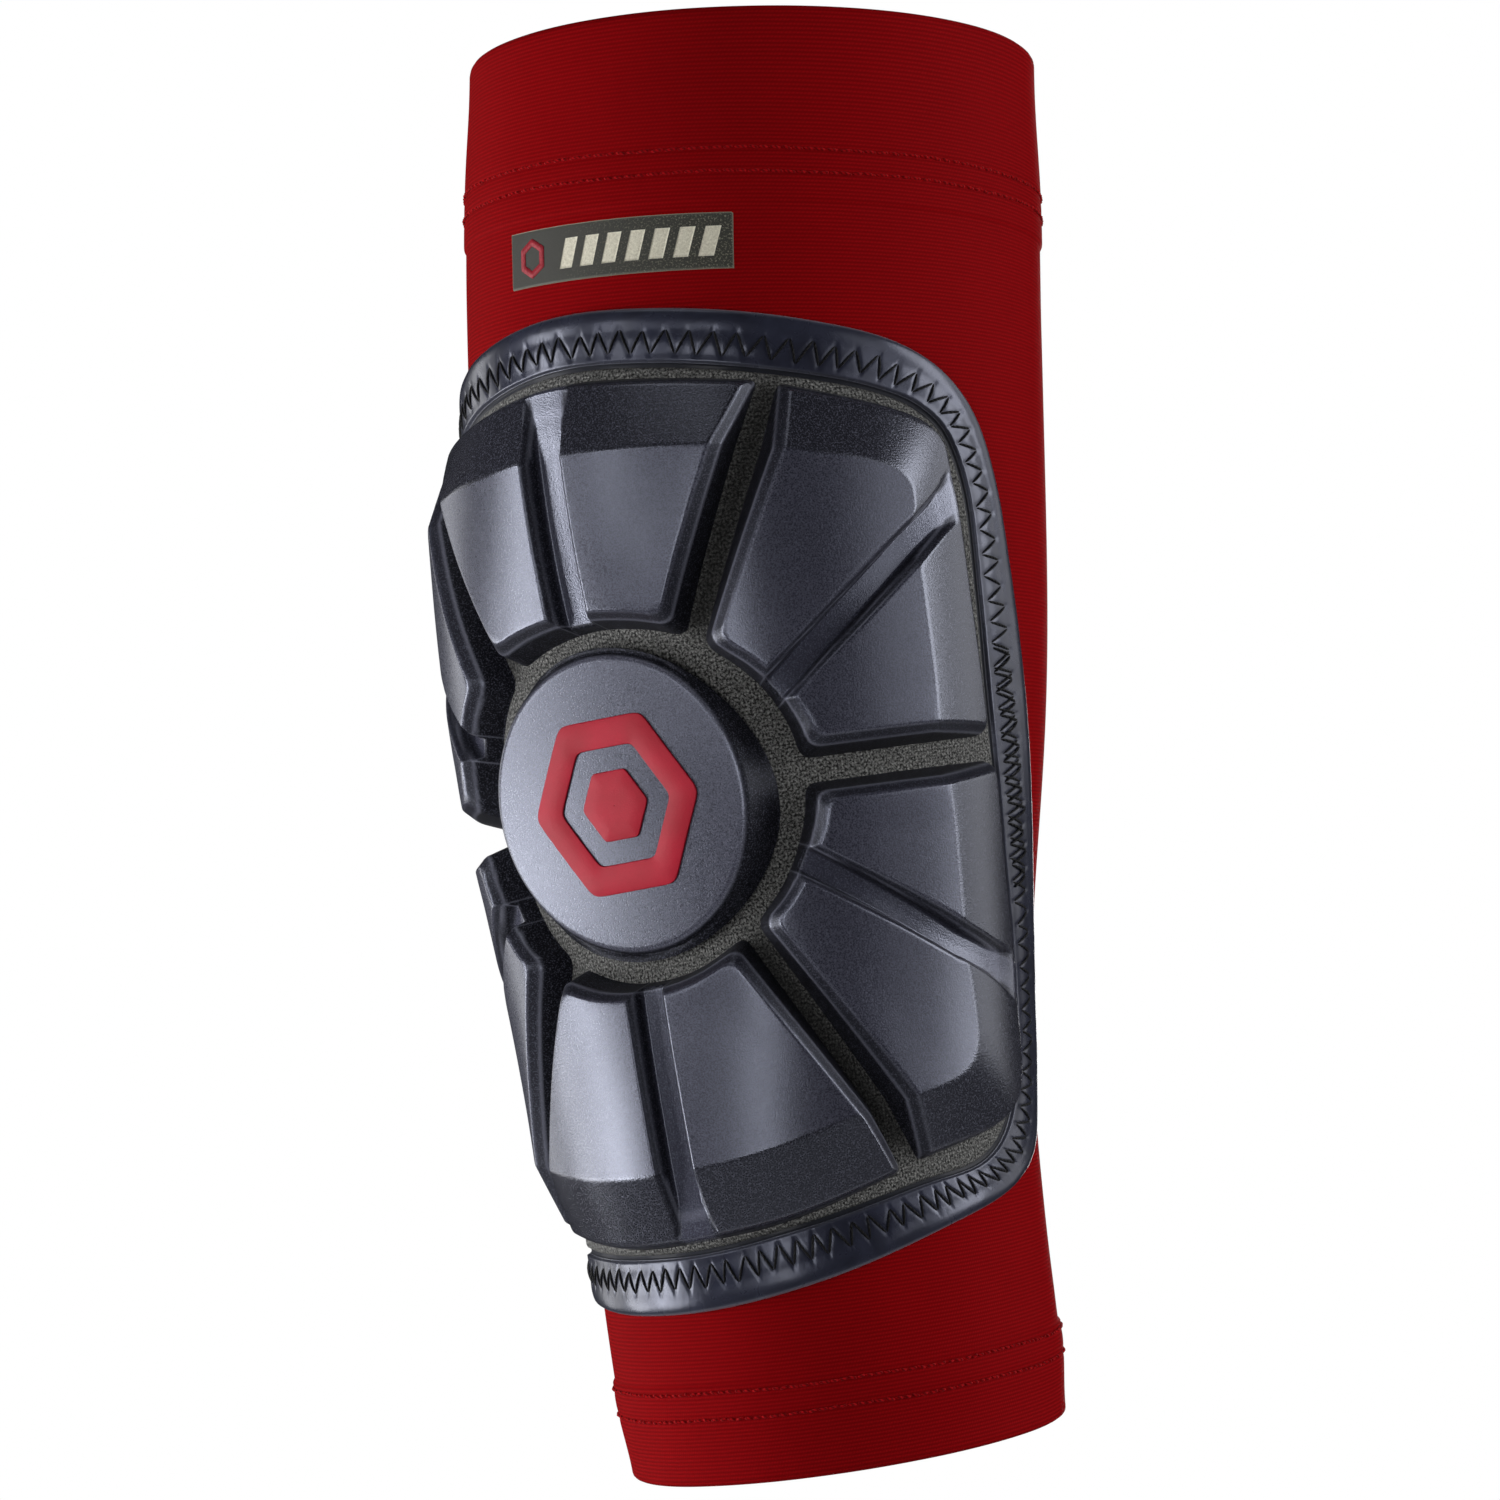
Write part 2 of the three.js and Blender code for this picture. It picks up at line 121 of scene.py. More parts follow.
def closed(rows):
    """The same rows with the first one repeated at the end."""
    return np.concatenate([rows, rows[:1]])


def grid(first, second):
    return np.meshgrid(first, second, indexing="ij")


def ring_angles(count):
    return np.arange(count) / count * 2 * math.pi


def distance_to_line(p, line):
    """Distance from each point to a polyline in the plane."""
    a, b = line[:-1], line[1:]
    d = b - a
    w = np.clip(((p[..., None, :] - a) * d).sum(-1) / (d * d).sum(-1), 0, 1)
    return np.linalg.norm(p[..., None, :] - (a + d * w[..., None]), axis=-1).min(-1)


def waves(x, y, size, seed, octaves=3):
    """Smooth seeded noise in about -1..1, as a sum of sines in scattered directions."""
    rng = np.random.default_rng(seed)
    total = np.zeros(np.broadcast(x, y).shape)
    for octave in range(octaves):
        for _ in range(5):
            angle, phase = rng.uniform(0, 2 * math.pi, 2)
            k = 2 * math.pi / size * 1.9 ** octave * rng.uniform(0.7, 1.3)
            total = total + np.sin(k * (x * math.cos(angle) + y * math.sin(angle)) + phase) / 1.8 ** octave
    return total / 4.0


def closed_catmull_rom(points, count):
    """count points on a closed centripetal Catmull-Rom curve, evenly spaced in its parameter."""
    points, n = np.asarray(points, float), len(points)
    t = np.arange(count) / count * n
    i, w = np.floor(t).astype(int), (t - np.floor(t))[:, None]
    p0, p1, p2, p3 = (points[(i + k - 1) % n] for k in range(4))
    d0, d1, d2 = (np.linalg.norm(b - a, axis=1)[:, None] ** 0.5 for a, b in ((p0, p1), (p1, p2), (p2, p3)))
    m1 = ((p1 - p0) / d0 - (p2 - p0) / (d0 + d1) + (p2 - p1) / d1) * d1
    m2 = ((p2 - p1) / d1 - (p3 - p1) / (d1 + d2) + (p3 - p2) / d2) * d1
    return (p1 + m1 * w + (-3 * p1 + 3 * p2 - 2 * m1 - m2) * w ** 2 + (2 * p1 - 2 * p2 + m1 + m2) * w ** 3)


# ---- meshes ----
def build_mesh(name, points, quads, uv, attributes, material):
    """A smooth mesh from points in millimetres, quads, a uv pair in millimetres per quad corner, and
    named values per point."""
    mesh = bpy.data.meshes.new(name)
    points, quads = np.asarray(points, float).reshape(-1, 3), np.asarray(quads, np.int32).reshape(-1, 4)
    mesh.vertices.add(len(points))
    mesh.vertices.foreach_set("co", (points * 0.001).astype(np.float32).ravel())
    mesh.loops.add(quads.size)
    mesh.loops.foreach_set("vertex_index", quads.ravel())
    mesh.polygons.add(len(quads))
    mesh.polygons.foreach_set("loop_start", np.arange(0, quads.size, 4, dtype=np.int32))
    mesh.update(calc_edges=True)
    mesh.polygons.foreach_set("use_smooth", np.ones(len(quads), bool))
    if uv is not None:
        mesh.uv_layers.new(name="mm").data.foreach_set("uv", np.asarray(uv, np.float32).ravel())
    for key, values in (attributes or {}).items():
        layer = mesh.attributes.new(key, "FLOAT", "POINT")
        layer.data.foreach_set("value", np.asarray(values, np.float32).ravel())
    mesh.validate()
    mesh.materials.append(material)
    obj = bpy.data.objects.new(name, mesh)
    bpy.context.scene.collection.objects.link(obj)
    return obj


def grid_quads(n, m, loop_u, loop_v, flip=False, first=0):
    """Corner indices of an n by m grid of points, and the same corners' unwrapped grid positions."""
    i, j = grid(np.arange(n if loop_u else n - 1), np.arange(m if loop_v else m - 1))
    corners = [(i, j), (i + 1, j), (i + 1, j + 1), (i, j + 1)]
    if flip:
        corners = corners[::-1]
    index = np.stack([(a % n) * m + (b % m) for a, b in corners], -1).reshape(-1, 4) + first
    where = np.stack([np.stack([a, b], -1) for a, b in corners], -2).reshape(-1, 4, 2)
    return index, where


def uv_at(uv, where):
    """uv at unwrapped grid positions. uv may be one column or row longer than the grid where it loops."""
    if uv is None:
        return None
    return uv[np.minimum(where[..., 0], uv.shape[0] - 1), np.minimum(where[..., 1], uv.shape[1] - 1)]


def surface(name, points, uv, material, loop_u=True, attributes=None, flip=False):
    """A mesh of one grid of points that closes along its second axis, and with loop_u along both."""
    quads, where = grid_quads(*points.shape[:2], loop_u, True, flip)
    return build_mesh(name, points, quads, uv_at(uv, where), attributes, material)


def slab(name, outer, inner, uv, material, loop_u=True, attributes=None, flip=False):
    """A closed solid between two grids of the same size. With loop_u the first axis closes on itself."""
    n, m = outer.shape[:2]
    top, where = grid_quads(n, m, loop_u, False, flip)
    underside, _ = grid_quads(n, m, loop_u, False, not flip, first=n * m)
    quads, wheres = [top, underside], [where, where[:, ::-1]]
    around = np.arange(n + loop_u)
    rims = [(around % n, np.full(len(around), j), j == 0) for j in (0, m - 1)]
    if not loop_u:
        rims += [(np.full(m, i), np.arange(m), i != 0) for i in (0, n - 1)]
    for i, j, turn in rims:
        a = i * m + j
        rim = np.stack([a[:-1], a[:-1] + n * m, a[1:] + n * m, a[1:]], -1)
        place = np.stack([i, j], -1)
        spot = np.stack([place[:-1], place[:-1], place[1:], place[1:]], -2)
        if turn != flip:
            rim, spot = rim[:, ::-1], spot[:, ::-1]
        quads.append(rim)
        wheres.append(spot)
    both = {key: np.concatenate([v.ravel(), v.ravel()]) for key, v in (attributes or {}).items()}
    points = np.concatenate([outer.reshape(-1, 3), inner.reshape(-1, 3)])
    return build_mesh(name, points, np.concatenate(quads), uv_at(uv, np.concatenate(wheres)), both, material)


TUBE_SIDES = 6


def tube(path, up, radius, loop=True):
    """Grid of points round a path of points; up is the direction away from the surface at each."""
    along = np.roll(path, -1, 0) - np.roll(path, 1, 0) if loop else np.gradient(path, axis=0)
    along /= np.linalg.norm(along, axis=1)[:, None]
    side = np.cross(along, up)
    side /= np.linalg.norm(side, axis=1)[:, None]
    up = np.cross(side, along)
    angle = ring_angles(TUBE_SIDES)
    r = np.broadcast_to(radius, (len(path),))[:, None, None]
    return path[:, None] + r * (np.cos(angle)[None, :, None] * side[:, None]
                                + np.sin(angle)[None, :, None] * up[:, None])


def tube_uv(path, loop=True):
    """uv for a tube: millimetres along it, and the share of a turn round it."""
    steps = np.linalg.norm(np.diff(closed(path), axis=0), axis=1)
    along = np.concatenate([[0], np.cumsum(steps)])
    if not loop:
        along = along[:-1]
    return np.stack(grid(along, np.arange(TUBE_SIDES + 1) / TUBE_SIDES), -1)


# ---- materials ----
def srgb(r, g, b):
    def linear(c):
        c /= 255
        return c / 12.92 if c <= 0.04045 else ((c + 0.055) / 1.055) ** 2.4
    return (linear(r), linear(g), linear(b), 1.0)


def bands(pitch):
    """Scale of a wave texture whose bands repeat every pitch millimetres."""
    return 2 * math.pi / 20 / pitch


class Look:
    """A node material with a Principled shader. The helpers return output sockets, and put returns
    the material. Colours are sRGB triples, linear values of four numbers, or sockets."""

    def __init__(self, name, **sockets):
        self.material = bpy.data.materials.new(name)
        self.material.use_nodes = True
        self.tree = self.material.node_tree
        self.tree.nodes.clear()
        out = self.tree.nodes.new("ShaderNodeOutputMaterial")
        self.shader = self.tree.nodes.new("ShaderNodeBsdfPrincipled")
        self.tree.links.new(self.shader.outputs[0], out.inputs["Surface"])
        self.put(**sockets)

    def feed(self, socket, value):
        """Link a socket to another, or set it."""
        if isinstance(value, bpy.types.NodeSocket):
            self.tree.links.new(value, socket)
        elif socket.type == "RGBA" and len(value) == 3:
            socket.default_value = srgb(*value)
        else:
            socket.default_value = value

    def node(self, kind, inputs=None, out=0, **props):
        n = self.tree.nodes.new("ShaderNode" + kind)
        for key, value in props.items():
            setattr(n, key, value)
        for key, value in (inputs or {}).items():
            self.feed(n.inputs[key], value)
        return n.outputs[out]

    def uv(self):
        return self.node("UVMap", uv_map="mm")

    def place(self):
        return self.node("TexCoord", out="Object")

    def stretched(self, vector, x, y, turn=0.0):
        return self.node("Mapping", {"Vector": vector, "Scale": (x, y, 1.0), "Rotation": (0, 0, turn)})

    def attribute(self, name):
        return self.node("Attribute", out="Fac", attribute_name=name)

    def noise(self, vector, scale, detail=2.0, rough=0.5, distort=0.0):
        return self.node("TexNoise", {"Vector": vector, "Scale": scale, "Detail": detail, "Roughness": rough,
                                      "Distortion": distort})

    def wave(self, vector, pitch, direction, distort, detail, detail_scale=1.0):
        return self.node("TexWave", {"Vector": vector, "Scale": bands(pitch), "Distortion": distort,
                                     "Detail": detail, "Detail Scale": detail_scale},
                         out="Fac", bands_direction=direction)

    def cells(self, vector, scale):
        return self.node("TexVoronoi", {"Vector": vector, "Scale": scale}, out="Distance")

    def maths(self, op, a, b, clamp=False):
        return self.node("Math", {0: a, 1: b}, operation=op, use_clamp=clamp)

    def times(self, a, b):
        return self.maths("MULTIPLY", a, b)

    def plus(self, a, b):
        return self.maths("ADD", a, b)

    def remap(self, value, low, high, to_low=0.0, to_high=1.0):
        return self.node("MapRange", {"Value": value, "From Min": low, "From Max": high, "To Min": to_low,
                                      "To Max": to_high})

    def mix(self, share, a, b):
        return self.node("Mix", {0: share, 6: a, 7: b}, out=2, data_type="RGBA")

    def paint(self, colour, *layers):
        """A colour with others laid over it, each by its own share."""
        for share, over in layers:
            colour = self.mix(share, colour, over)
        return colour

    def bump(self, height, distance_mm, strength=1.0, **normal):
        return self.node("Bump", {"Height": height, "Distance": distance_mm * 0.001, "Strength": strength,
                                  **normal})

    def put(self, **sockets):
        for key, value in sockets.items():
            self.feed(self.shader.inputs[key.replace("_", " ")], value)
        return self.material


def red_knit():
    """Fine rib knit: thin courses round the arm, each a row of slanted loops."""
    look = Look("red_knit", Sheen_Weight=0.02, Sheen_Roughness=0.5, Specular_IOR_Level=0.015,
                Sheen_Tint=(255, 90, 80))
    uv = look.uv()
    course = look.wave(uv, 0.70, "Y", 0.25, 1.0, 0.6)
    loops = look.wave(look.stretched(uv, 1, 1, math.radians(28)), 0.62, "X", 0.5, 1.0, 0.8)
    mottle = look.noise(uv, 0.05, 4.0, 0.6)
    yarn = look.noise(look.stretched(uv, 0.6, 2.2), 1.6, 3.0, 0.6)
    rib = look.times(course, look.remap(loops, 0, 1, 0.55, 1.0))
    low = look.mix(mottle, (108, 4, 8), (120, 5, 9))
    high = look.mix(mottle, (136, 7, 12), (148, 9, 14))
    colour = look.paint(low, (look.remap(rib, 0.1, 0.85), high),
                        (look.remap(yarn, 0.35, 0.8, 0.0, 0.35), (120, 4, 8)))
    height = look.plus(rib, look.times(yarn, 0.35))
    return look.put(Base_Color=colour, Roughness=look.remap(yarn, 0.2, 0.8, 0.62, 0.82),
                    Normal=look.bump(height, 0.055, 0.6))


def thread(name, dark, light, rough, shine):
    """Twisted sewing thread: uv runs along the tube in x, and once round it in y."""
    look = Look(name, Sheen_Weight=shine * 0.3, Specular_IOR_Level=shine)
    ply = look.wave(look.stretched(look.uv(), 1.0 / 0.9, 1.0), 0.5, "DIAGONAL", 0.4, 1.0)
    fuzz = look.noise(look.place(), 9000, 3.0)
    colour = look.paint(dark, (look.remap(ply, 0.15, 0.9), light),
                        (look.remap(fuzz, 0.4, 0.8, 0, 0.4), dark))
    return look.put(Base_Color=colour, Roughness=look.remap(fuzz, 0.2, 0.8, rough - 0.12, rough + 0.15),
                    Normal=look.bump(look.plus(ply, look.times(fuzz, 0.4)), 0.08, 0.9))


def edge_film():
    """Glossy dark urethane film with soft dents; its edges are painted pale as a highlight, and its
    turned-in lip is painted black as shade.
    """
    look = Look("edge_film", Specular_IOR_Level=0.5, Coat_Weight=0.12, Coat_Roughness=0.2,
                Specular_Tint=(218, 224, 250))
    uv = look.uv()
    blotch = look.noise(uv, 0.16, 4.0, 0.55, 0.4)
    fine = look.noise(uv, 1.1, 3.0, 0.6)
    lip, rim = look.attribute("lip"), look.attribute("rim")
    # rim paints the film's edges pale as a highlight; lip paints the turned-in lip black as shade.
    colour = look.paint((26, 27, 38), (look.remap(blotch, 0.3, 0.7), (44, 46, 60)),
                        (look.times(rim, 0.55), (150, 152, 165)), (lip, (6, 6, 8)))
    rough = look.plus(look.times(lip, 0.5), look.remap(blotch, 0.3, 0.7, 0.33, 0.24))
    dents = look.bump(look.plus(blotch, look.times(fine, 0.07)), 0.14, 0.7)
    return look.put(Base_Color=colour, Roughness=rough, Normal=dents)


def grey_textile():
    """Speckled grey woven backing with dark pores."""
    look = Look("grey_textile", Sheen_Weight=0.12, Specular_IOR_Level=0.25)
    uv = look.uv()
    warp, weft = (look.wave(uv, 0.62, direction, 1.2, 2.0, 1.5) for direction in "XY")
    weave = look.times(warp, weft)
    pores = look.cells(uv, 1.9)
    speck = look.noise(uv, 2.1, 3.0, 0.65)
    colour = look.paint((18, 18, 19), (look.remap(speck, 0.41, 0.60), (142, 142, 140)),
                        (look.remap(pores, 0.05, 0.42, 0.75, 0.0), (12, 12, 12)),
                        (look.remap(weave, 0.0, 0.6, 0.40, 0.0), (24, 24, 24)),
                        # Painted shadow in the narrow gaps beside the long petals.
                        (look.times(look.attribute("gap"), 0.75), (8, 8, 8)),
                        # Painted shade in the groove at the textile's rim, under the film's edge.
                        (look.attribute("groove_shade"), (8, 8, 8)))
    height = look.plus(look.times(weave, 0.6), look.plus(speck, pores))
    return look.put(Base_Color=colour, Roughness=look.remap(speck, 0.3, 0.7, 0.78, 0.95),
                    Normal=look.bump(height, 0.16, 0.9))


def satin_urethane():
    """Moulded urethane: fine sand grain and brushed bevels; walls are darkened as painted shade, crease
    floors lightened as painted light, and edges lightened as painted highlight.
    """
    look = Look("satin_urethane", Specular_Tint=(222, 228, 250))
    uv = look.uv()
    grain = look.noise(look.place(), 3400, 1.5, 0.55)
    cloud = look.noise(uv, 0.06, 3.0, 0.5)
    streak = look.noise(look.stretched(uv, 0.05, 1.6), 2.2, 3.0, 0.6)
    bevel, painted_edge_light_shade, wall, ledge = (look.attribute(name) for name in ("bevel", "painted_edge_light_shade", "wall", "floor"))
    # Painted light and shade: walls darkened as shade, crease floors lightened as light, edges lightened as
    # highlight.
    colour = look.paint((42, 42, 53), (look.remap(cloud, 0.3, 0.7), (49, 49, 61)),
                        (look.times(bevel, 0.75), (22, 22, 26)), (look.times(wall, 0.9), (10, 10, 13)),
                        (look.times(ledge, 0.5), (74, 75, 90)),
                        (look.remap(grain, 0.50, 0.72, 0.0, 0.30), (126, 128, 146)),
                        (look.remap(grain, 0.28, 0.50, 0.34, 0.0), (18, 18, 24)),
                        (look.times(painted_edge_light_shade, 0.30), (150, 152, 170)))
    rough = look.maths("SUBTRACT", look.remap(grain, 0.25, 0.75, 0.24, 0.34), look.times(painted_edge_light_shade, 0.08))
    rough = look.plus(rough, look.times(wall, 0.12))
    rough = look.maths("SUBTRACT", rough, look.times(look.plus(bevel, ledge), 0.08))
    dulled = look.maths("SUBTRACT", wall, look.times(painted_edge_light_shade, 0.8), clamp=True)
    sand = look.bump(grain, 0.045, 0.9)
    brushed = look.bump(look.times(streak, bevel), 0.02, 0.9, Normal=sand)
    return look.put(Base_Color=colour, Roughness=rough, Normal=brushed,
                    Specular_IOR_Level=look.remap(dulled, 0.0, 1.0, 0.95, 0.12))


def red_inlay():
    look = Look("red_inlay", Specular_IOR_Level=0.22)
    place = look.place()
    grain, cloud = look.noise(place, 3600, 2.0, 0.6), look.noise(place, 120, 3.0)
    colour = look.paint((158, 8, 34), (look.remap(cloud, 0.3, 0.7), (178, 12, 44)),
                        (look.remap(grain, 0.4, 0.8, 0.0, 0.22), (120, 14, 26)),
                        # The inlay's foot, where it meets the disc, is darkened as painted shade.
                        (look.attribute("painted_edge_light_shade"), (60, 6, 12)))
    return look.put(Base_Color=colour, Roughness=look.remap(grain, 0.2, 0.8, 0.42, 0.58),
                    Normal=look.bump(grain, 0.04, 0.8))


def foam():
    """Closed-cell impact foam, seen only where the pad is opened."""
    look = Look("foam", Specular_IOR_Level=0.2)
    place = look.place()
    cells, tint = look.cells(place, 1500), look.noise(place, 90, 3.0)
    colour = look.paint((206, 190, 92), (look.remap(tint, 0.3, 0.7), (224, 211, 120)),
                        (look.remap(cells, 0.0, 0.35, 0.45, 0.0), (150, 132, 52)))
    return look.put(Base_Color=colour, Roughness=look.remap(tint, 0, 1, 0.8, 0.98),
                    Normal=look.bump(cells, 0.2, 0.7))


def label_film():
    """Dark transfer film with glitter specks, painted brighter towards its right end as a glint."""
    look = Look("label_film", Specular_IOR_Level=0.4)
    glitter = look.noise(look.uv(), 2.8, 2.0, 0.7)
    right, edge = look.attribute("right"), look.attribute("edge")
    # Painted glint: the glitter specks grow brighter towards the label's right end.
    painted_glint = look.times(look.remap(glitter, 0.54, 0.66), look.remap(right, 0.25, 1.0, 0.05, 0.8))
    colour = look.paint((44, 44, 38), (painted_glint, (140, 138, 118)), (look.times(edge, 0.7), (150, 146, 128)))
    return look.put(Base_Color=colour, Roughness=look.remap(glitter, 0.3, 0.7, 0.45, 0.7),
                    Normal=look.bump(glitter, 0.04, 0.6))


def label_print(name, dark, light):
    look = Look(name, Specular_IOR_Level=0.35)
    place = look.place()
    grain, wear = look.noise(place, 3000, 2.0, 0.6), look.noise(place, 500, 4.0, 0.7)
    colour = look.paint(light, (look.remap(grain, 0.3, 0.7), dark),
                        (look.remap(wear, 0.62, 0.75, 0.0, 0.5), dark))
    return look.put(Base_Color=colour, Roughness=look.remap(grain, 0.2, 0.8, 0.5, 0.7),
                    Normal=look.bump(grain, 0.03, 0.6))


KNIT = red_knit()
RED_THREAD = thread("red_thread", (112, 4, 8), (170, 10, 16), 0.8, 0.05)
BLACK_THREAD = thread("black_thread", (2, 2, 3), (16, 16, 20), 0.6, 0.15)
FILM = edge_film()
TEXTILE = grey_textile()
SATIN = satin_urethane()
INLAY = red_inlay()
FOAM = foam()
LABEL = label_film()
LABEL_CREAM = label_print("label_cream", (190, 185, 165), (226, 222, 204))
LABEL_RED = label_print("label_red", (120, 20, 32), (168, 34, 50))


def declare(piece, slot, body, *nodes):
    """Hide the CAD nodes that a piece stands for, and attach the piece to the body that carries it; slot is
    not used. A piece on "both" gets no body: its transform is baked in."""
    if nodes:
        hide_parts(*nodes)
    if body == "both":
        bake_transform(piece)
    else:
        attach(piece, body)


# ---- sleeve ----
FABRIC = 1.2
UPPER_ROWS, LOWER_ROWS = (113.4, 109.2), (-104.6, -109.4)
UPPER_STEP, LOWER_STEP = 104.0, -103.2      # where each hem's folded layer ends
HEM_RISE, LOWER_HEM_RISE = 0.42, 0.50       # how far that layer lifts the outer face
UPPER_ROLL, LOWER_ROLL = 1.1, 1.3           # how far the face rolls in towards each end of the sleeve
UPPER_FACING, LOWER_FACING = (103.6, SLEEVE_TOP - 2.3), (SLEEVE_BOTTOM + 2.0, -102.8)
SEAM_HALF, SEAM_SINK, SEAM_RISE = 2.6, 0.35, 0.95
STITCHES, STITCH_STEPS = 150, 8


def knit_height(phi, s):
    """How far the knit's outer face stands off the plain sleeve."""
    h = HEM_RISE * smooth(s, UPPER_STEP - 0.5, UPPER_STEP + 0.5)
    h = h - UPPER_ROLL * smooth(s, UPPER_STEP + 2, SLEEVE_TOP)
    h = h + LOWER_HEM_RISE * smooth(s, LOWER_STEP + 0.5, LOWER_STEP - 0.5)
    h = h - LOWER_ROLL * smooth(s, LOWER_STEP - 3, SLEEVE_BOTTOM)
    for row in (*UPPER_ROWS, *LOWER_ROWS):
        pucker = 0.75 + 0.25 * np.sin(phi * 73 + row) * np.sin(phi * 31 + 2 * row)
        h = h - 0.22 * pucker * bell(s - row, 0.9)
    return h + 0.16 * waves(phi * PAD_RADIUS, s, 46, 3, 2) * smooth(np.abs(s - 8), 60, 110)


def sleeve_profile():
    """(s, h over the outer face, share of the outer face's shape) round the knit's section."""
    rows = np.unique(np.round(np.concatenate([
        np.linspace(SLEEVE_BOTTOM + 1.2, SLEEVE_TOP - 1.5, 190),
        *[np.linspace(c - 1.6, c + 1.6, 11)
          for c in (*UPPER_ROWS, *LOWER_ROWS, UPPER_STEP, LOWER_STEP)]]), 3))
    outer = [(s, 0.0, 1.0) for s in rows]
    turn = np.radians(np.linspace(90, -90, 9)[1:])
    top = [(SLEEVE_TOP - 1.5 + 1.5 * math.cos(a), -1.5 + 1.5 * math.sin(a), 1.0) for a in turn]
    top += [(SLEEVE_TOP - 2.0, -3.0, 1.0), (SLEEVE_TOP - 2.1, -1.5, 1.0)]
    inner = [(s, -FABRIC, 0.9) for s in np.linspace(SLEEVE_TOP - 2.4, SLEEVE_BOTTOM + 2.1, 90)]
    low = [(SLEEVE_BOTTOM + 1.8, -1.5, 1.0), (SLEEVE_BOTTOM + 1.7, -2.9, 1.0)]
    low += [(SLEEVE_BOTTOM + 1.2 - 1.2 * math.cos(a), -1.45 + 1.45 * math.sin(a), 1.0) for a in turn[::-1]]
    return np.array(outer + top + inner + low)


def make_sleeve():
    profile = sleeve_profile()
    phi = np.linspace(-math.pi, math.pi, 289)
    a, s = grid(phi, profile[:, 0])
    points = on_sleeve(a, s, knit_height(a, s) * profile[:, 2] + profile[:, 1])
    steps = np.concatenate([[0], np.cumsum(np.hypot(np.diff(profile[:, 0]), np.diff(profile[:, 1])))])
    close = steps[-1] + np.hypot(*(profile[0, :2] - profile[-1, :2]))
    uv = np.stack(grid(phi * PAD_RADIUS, np.append(steps, close)), -1)
    return surface("sleeve_knit", points[:-1], uv, KNIT, flip=True)


def make_facing(name, low, high):
    """The folded-in layer of a hem, inside the sleeve."""
    a, b = grid(np.linspace(-math.pi, math.pi, 145), np.linspace(low, high, 14))
    base = knit_height(a, b) - HEM_RISE
    wavy = 0.12 * waves(a * PAD_RADIUS, b, 17, 8, 2)
    outer, inner = on_sleeve(a, b, base - 1.25 + wavy), on_sleeve(a, b, base - 2.35 + wavy)
    return slab(name, outer[:-1], inner[:-1], np.stack([a * PAD_RADIUS, b], -1), KNIT, flip=True)


def make_stitch_row(name, s0, seed):
    """A row of cover stitches: thread that surfaces for each stitch and dips between them."""
    rng = np.random.default_rng(seed)
    length = np.cumsum(rng.uniform(0.75, 1.25, STITCHES))
    edges = np.concatenate([[0], length]) / length[-1]
    x = np.arange(STITCH_STEPS) / STITCH_STEPS
    phi = (edges[:-1, None] + (edges[1:] - edges[:-1])[:, None] * x).ravel() * 2 * math.pi - math.pi
    rise = np.tile(np.sin(math.pi * x) ** 0.7, STITCHES)
    slant = np.repeat(rng.uniform(-0.16, 0.16, STITCHES), STITCH_STEPS)
    slant = slant * np.tile(np.cos(math.pi * x), STITCHES)
    s = s0 + slant + 0.12 * np.sin(phi * 9 + seed)
    path = on_sleeve(phi, s, knit_height(phi, s) - 0.28 + 0.52 * rise)
    points = tube(path, normals_on(on_sleeve, phi, s), 0.20 + 0.05 * rise)
    return surface(name, points, tube_uv(path), RED_THREAD, flip=True)


def seam_height(across, phi, s):
    """The seam's rounded band, across running from -1 to 1."""
    return knit_height(phi, s) - SEAM_SINK + SEAM_RISE * (1 - across ** 4) ** 0.5


def make_back_seam():
    """Flatlock seam down the back: a low raised band under a herringbone of thread."""
    a, b = grid(np.linspace(-1, 1, 13), np.linspace(SLEEVE_BOTTOM + 0.5, SLEEVE_TOP - 0.5, 620))
    phi = math.pi + a * SEAM_HALF / PAD_RADIUS
    h = seam_height(a, phi, b) + 0.07 * np.sin(b * 2 * math.pi / 1.9) * (1 - a * a)
    band = slab("back_seam_band", on_sleeve(phi, b, h), on_sleeve(phi, b, knit_height(phi, b) - 0.6),
                np.stack([phi * PAD_RADIUS, b], -1), KNIT, loop_u=False, flip=True)
    turns = np.arange(SLEEVE_BOTTOM + 1.5, SLEEVE_TOP - 1.5, 0.95)
    count = np.arange(len(turns))
    t = np.arange(0, len(turns) - 1, 1 / 6)
    x, s = np.interp(t, count, np.where(count % 2 == 0, -0.8, 0.8)), np.interp(t, count, turns)
    phi = math.pi + x * SEAM_HALF / PAD_RADIUS
    path = on_sleeve(phi, s, seam_height(x, phi, s) + 0.05 + 0.16 * np.abs(np.sin(math.pi * t)))
    points = tube(path, normals_on(on_sleeve, phi, s), 0.19, loop=False)
    stitch = surface("back_seam_stitch", points, tube_uv(path, False), RED_THREAD, loop_u=False, flip=True)
    return band, stitch


sleeve = make_sleeve()
declare(sleeve, "red_knit", "both", "sleeve_upper", "sleeve_elbow", "sleeve_lower")
hem_pieces = []
for body, ends in (("upper", UPPER_FACING), ("lower", LOWER_FACING)):
    facing = make_facing(f"{body}_hem_facing_knit", *ends)
    declare(facing, "red_knit", body, f"{body}_hem_facing")
    hem_pieces.append(facing)
for body, rows, seed in (("upper", UPPER_ROWS, 40), ("lower", LOWER_ROWS, 45)):
    for i, s0 in enumerate(rows):
        row = make_stitch_row(f"{body}_hem_stitches_{i + 1}", s0, seed + i)
        declare(row, "red_thread", body, f"{body}_hem_stitch_row_{i + 1}")
        hem_pieces.append(row)
seam, seam_stitch = make_back_seam()
declare(seam, "red_knit", "both", "back_seam")
declare(seam_stitch, "red_thread", "both")
hem_pieces += [seam, seam_stitch]

